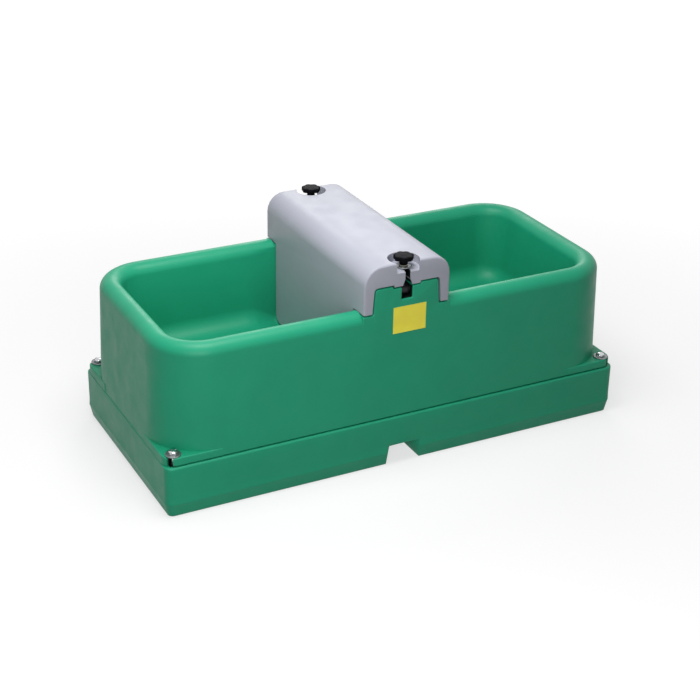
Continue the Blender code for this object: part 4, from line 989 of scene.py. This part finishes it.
def make_world(level):
    """Even light from all round, which shows as plain white."""
    world = bpy.data.worlds.new("studio")
    world.use_nodes = True
    bpy.context.scene.world = world
    tree = world.node_tree
    background = tree.nodes["Background"]
    background.inputs["Color"].default_value = WHITE
    background.inputs["Strength"].default_value = level
    white = add(tree, "ShaderNodeBackground", {"Color": WHITE, "Strength": 1.0})
    shown(tree, "World Output", background.outputs[0], white.outputs[0])


def make_lamp(name, place, target, size, power):
    """Square softbox that faces its target and isn't seen itself."""
    lamp = bpy.data.lights.new(name, "AREA")
    lamp.shape = "SQUARE"
    lamp.size = size
    lamp.energy = power
    item = placed(name, lamp)
    item.location = place
    item.rotation_euler = (Vector(place) - Vector(target)).to_track_quat("Z", "Y").to_euler()
    item.visible_camera = False


def make_stage(s):
    """Camera, floor, lamps and world."""
    make_camera()
    make_floor()
    make_world(s.world_level)
    make_lamp("overhead", (-0.30, -0.24, 1.5), (-0.20, 0, 0.3), 0.7, s.overhead_power)
    make_lamp("front_left", (-0.80, -1.35, 0.75), (-0.30, -0.10, 0.25), 0.6, s.front_power)
    make_lamp("rear", (1.05, 2.1, 1.4), (0, 0, 0.3), 1.2, s.rear_power)
    bpy.context.scene.view_settings.view_transform = "Standard"


# Settings, operators and panel


class WaterColours(bpy.types.PropertyGroup):
    """Colours of the plastics and the label"""
    trough_colour: FloatVectorProperty(
        name="Trough", description="Colour of the trough and the base", subtype="COLOR",
        default=linear("1C9A74"), min=0, max=1)
    cover_colour: FloatVectorProperty(
        name="Cover", description="Colour of the cover", subtype="COLOR",
        default=linear("AAACB8"), min=0, max=1)
    knob_colour: FloatVectorProperty(
        name="Knobs", description="Colour of the star knobs", subtype="COLOR",
        default=linear("101114"), min=0, max=1)
    float_colour: FloatVectorProperty(
        name="Float", description="Colour of the float", subtype="COLOR",
        default=linear("D9661E"), min=0, max=1)
    label_colour: FloatVectorProperty(
        name="Label", description="Colour of the bare label", subtype="COLOR",
        default=linear("FFF048"), min=0, max=1)


class WaterSizes(bpy.types.PropertyGroup):
    """Form of the star knobs"""
    knob_lobes: IntProperty(
        name="Knob lobes", description="Lobes round each star knob", default=7, min=3, max=12)
    knob_flute: FloatProperty(
        name="Flute depth", description="Depth of the flutes between the lobes", unit="LENGTH",
        default=0.0022, min=0.0005, max=0.005)


class WaterStage(bpy.types.PropertyGroup):
    """Power of the lamps, and level of the light all round"""
    overhead_power: FloatProperty(
        name="Overhead lamp", description="Power of the lamp above", default=15.0, min=0)
    front_power: FloatProperty(
        name="Front lamp", description="Power of the lamp in front", default=8.1, min=0)
    rear_power: FloatProperty(name="Rear lamp", description="Power of the lamp behind", default=15.0, min=0)
    world_level: FloatProperty(name="Surroundings", description="Light from all round", default=0.20, min=0)


class WaterFinishes(bpy.types.Operator):
    """Make the plastics, metals, rubber and vinyl that the pieces are finished with"""
    bl_idname = "waterer.finishes"
    bl_label = "Finishes"

    def execute(self, context):
        make_finishes(context.scene.waterer_colours)
        return {"FINISHED"}


class WaterTrough(bpy.types.Operator):
    """Make the trough's moulding"""
    bl_idname = "waterer.trough"
    bl_label = "Trough"

    def execute(self, context):
        make_trough()
        return {"FINISHED"}


class WaterBase(bpy.types.Operator):
    """Make the base's moulding"""
    bl_idname = "waterer.base"
    bl_label = "Base"

    def execute(self, context):
        make_base()
        return {"FINISHED"}


class WaterCover(bpy.types.Operator):
    """Make the cover's moulding"""
    bl_idname = "waterer.cover"
    bl_label = "Cover"

    def execute(self, context):
        make_cover()
        return {"FINISHED"}


class WaterLabel(bpy.types.Operator):
    """Make the bare label on the hump's face"""
    bl_idname = "waterer.label"
    bl_label = "Label"

    def execute(self, context):
        make_label()
        return {"FINISHED"}


class WaterClamps(bpy.types.Operator):
    """Make the knobs, washers and swing bolts"""
    bl_idname = "waterer.clamps"
    bl_label = "Clamps"

    def execute(self, context):
        make_clamps(context.scene.waterer_sizes)
        return {"FINISHED"}


class WaterCornerFixings(bpy.types.Operator):
    """Make the corner screws and washers"""
    bl_idname = "waterer.corner_fixings"
    bl_label = "Corner Fixings"

    def execute(self, context):
        make_corner_fixings()
        return {"FINISHED"}


class WaterFittings(bpy.types.Operator):
    """Make the supply line, float valve and drain"""
    bl_idname = "waterer.fittings"
    bl_label = "Fittings"

    def execute(self, context):
        make_fittings()
        return {"FINISHED"}


class WaterStageSet(bpy.types.Operator):
    """Make the camera, lamps and floor"""
    bl_idname = "waterer.stage"
    bl_label = "Stage"

    def execute(self, context):
        make_stage(context.scene.waterer_stage)
        return {"FINISHED"}


class WaterPanel(bpy.types.Panel):
    """Lists the settings and the operators"""
    bl_idname = "VIEW3D_PT_waterer"
    bl_label = "Livestock Waterer"
    bl_space_type = "VIEW_3D"
    bl_region_type = "UI"
    bl_category = "Waterer"

    def draw(self, context):
        for name in GROUPS:
            group = getattr(context.scene, name)
            for key in group.__annotations__:
                self.layout.prop(group, key)
        for operator in OPERATORS:
            self.layout.operator(operator.bl_idname)


GROUPS = {"waterer_colours": WaterColours, "waterer_sizes": WaterSizes, "waterer_stage": WaterStage}
OPERATORS = (WaterFinishes, WaterStageSet, WaterTrough, WaterBase, WaterCover, WaterLabel, WaterClamps,
             WaterCornerFixings, WaterFittings)


def register():
    for item in (*GROUPS.values(), *OPERATORS, WaterPanel):
        bpy.utils.register_class(item)
    for key, group in GROUPS.items():
        setattr(bpy.types.Scene, key, PointerProperty(type=group))


def unregister():
    for key in GROUPS:
        delattr(bpy.types.Scene, key)
    for item in reversed((*GROUPS.values(), *OPERATORS, WaterPanel)):
        bpy.utils.unregister_class(item)


def main():
    register()
    for operator in OPERATORS:
        group, action = operator.bl_idname.split(".")
        getattr(getattr(bpy.ops, group), action)()


if __name__ == "__main__":
    main()
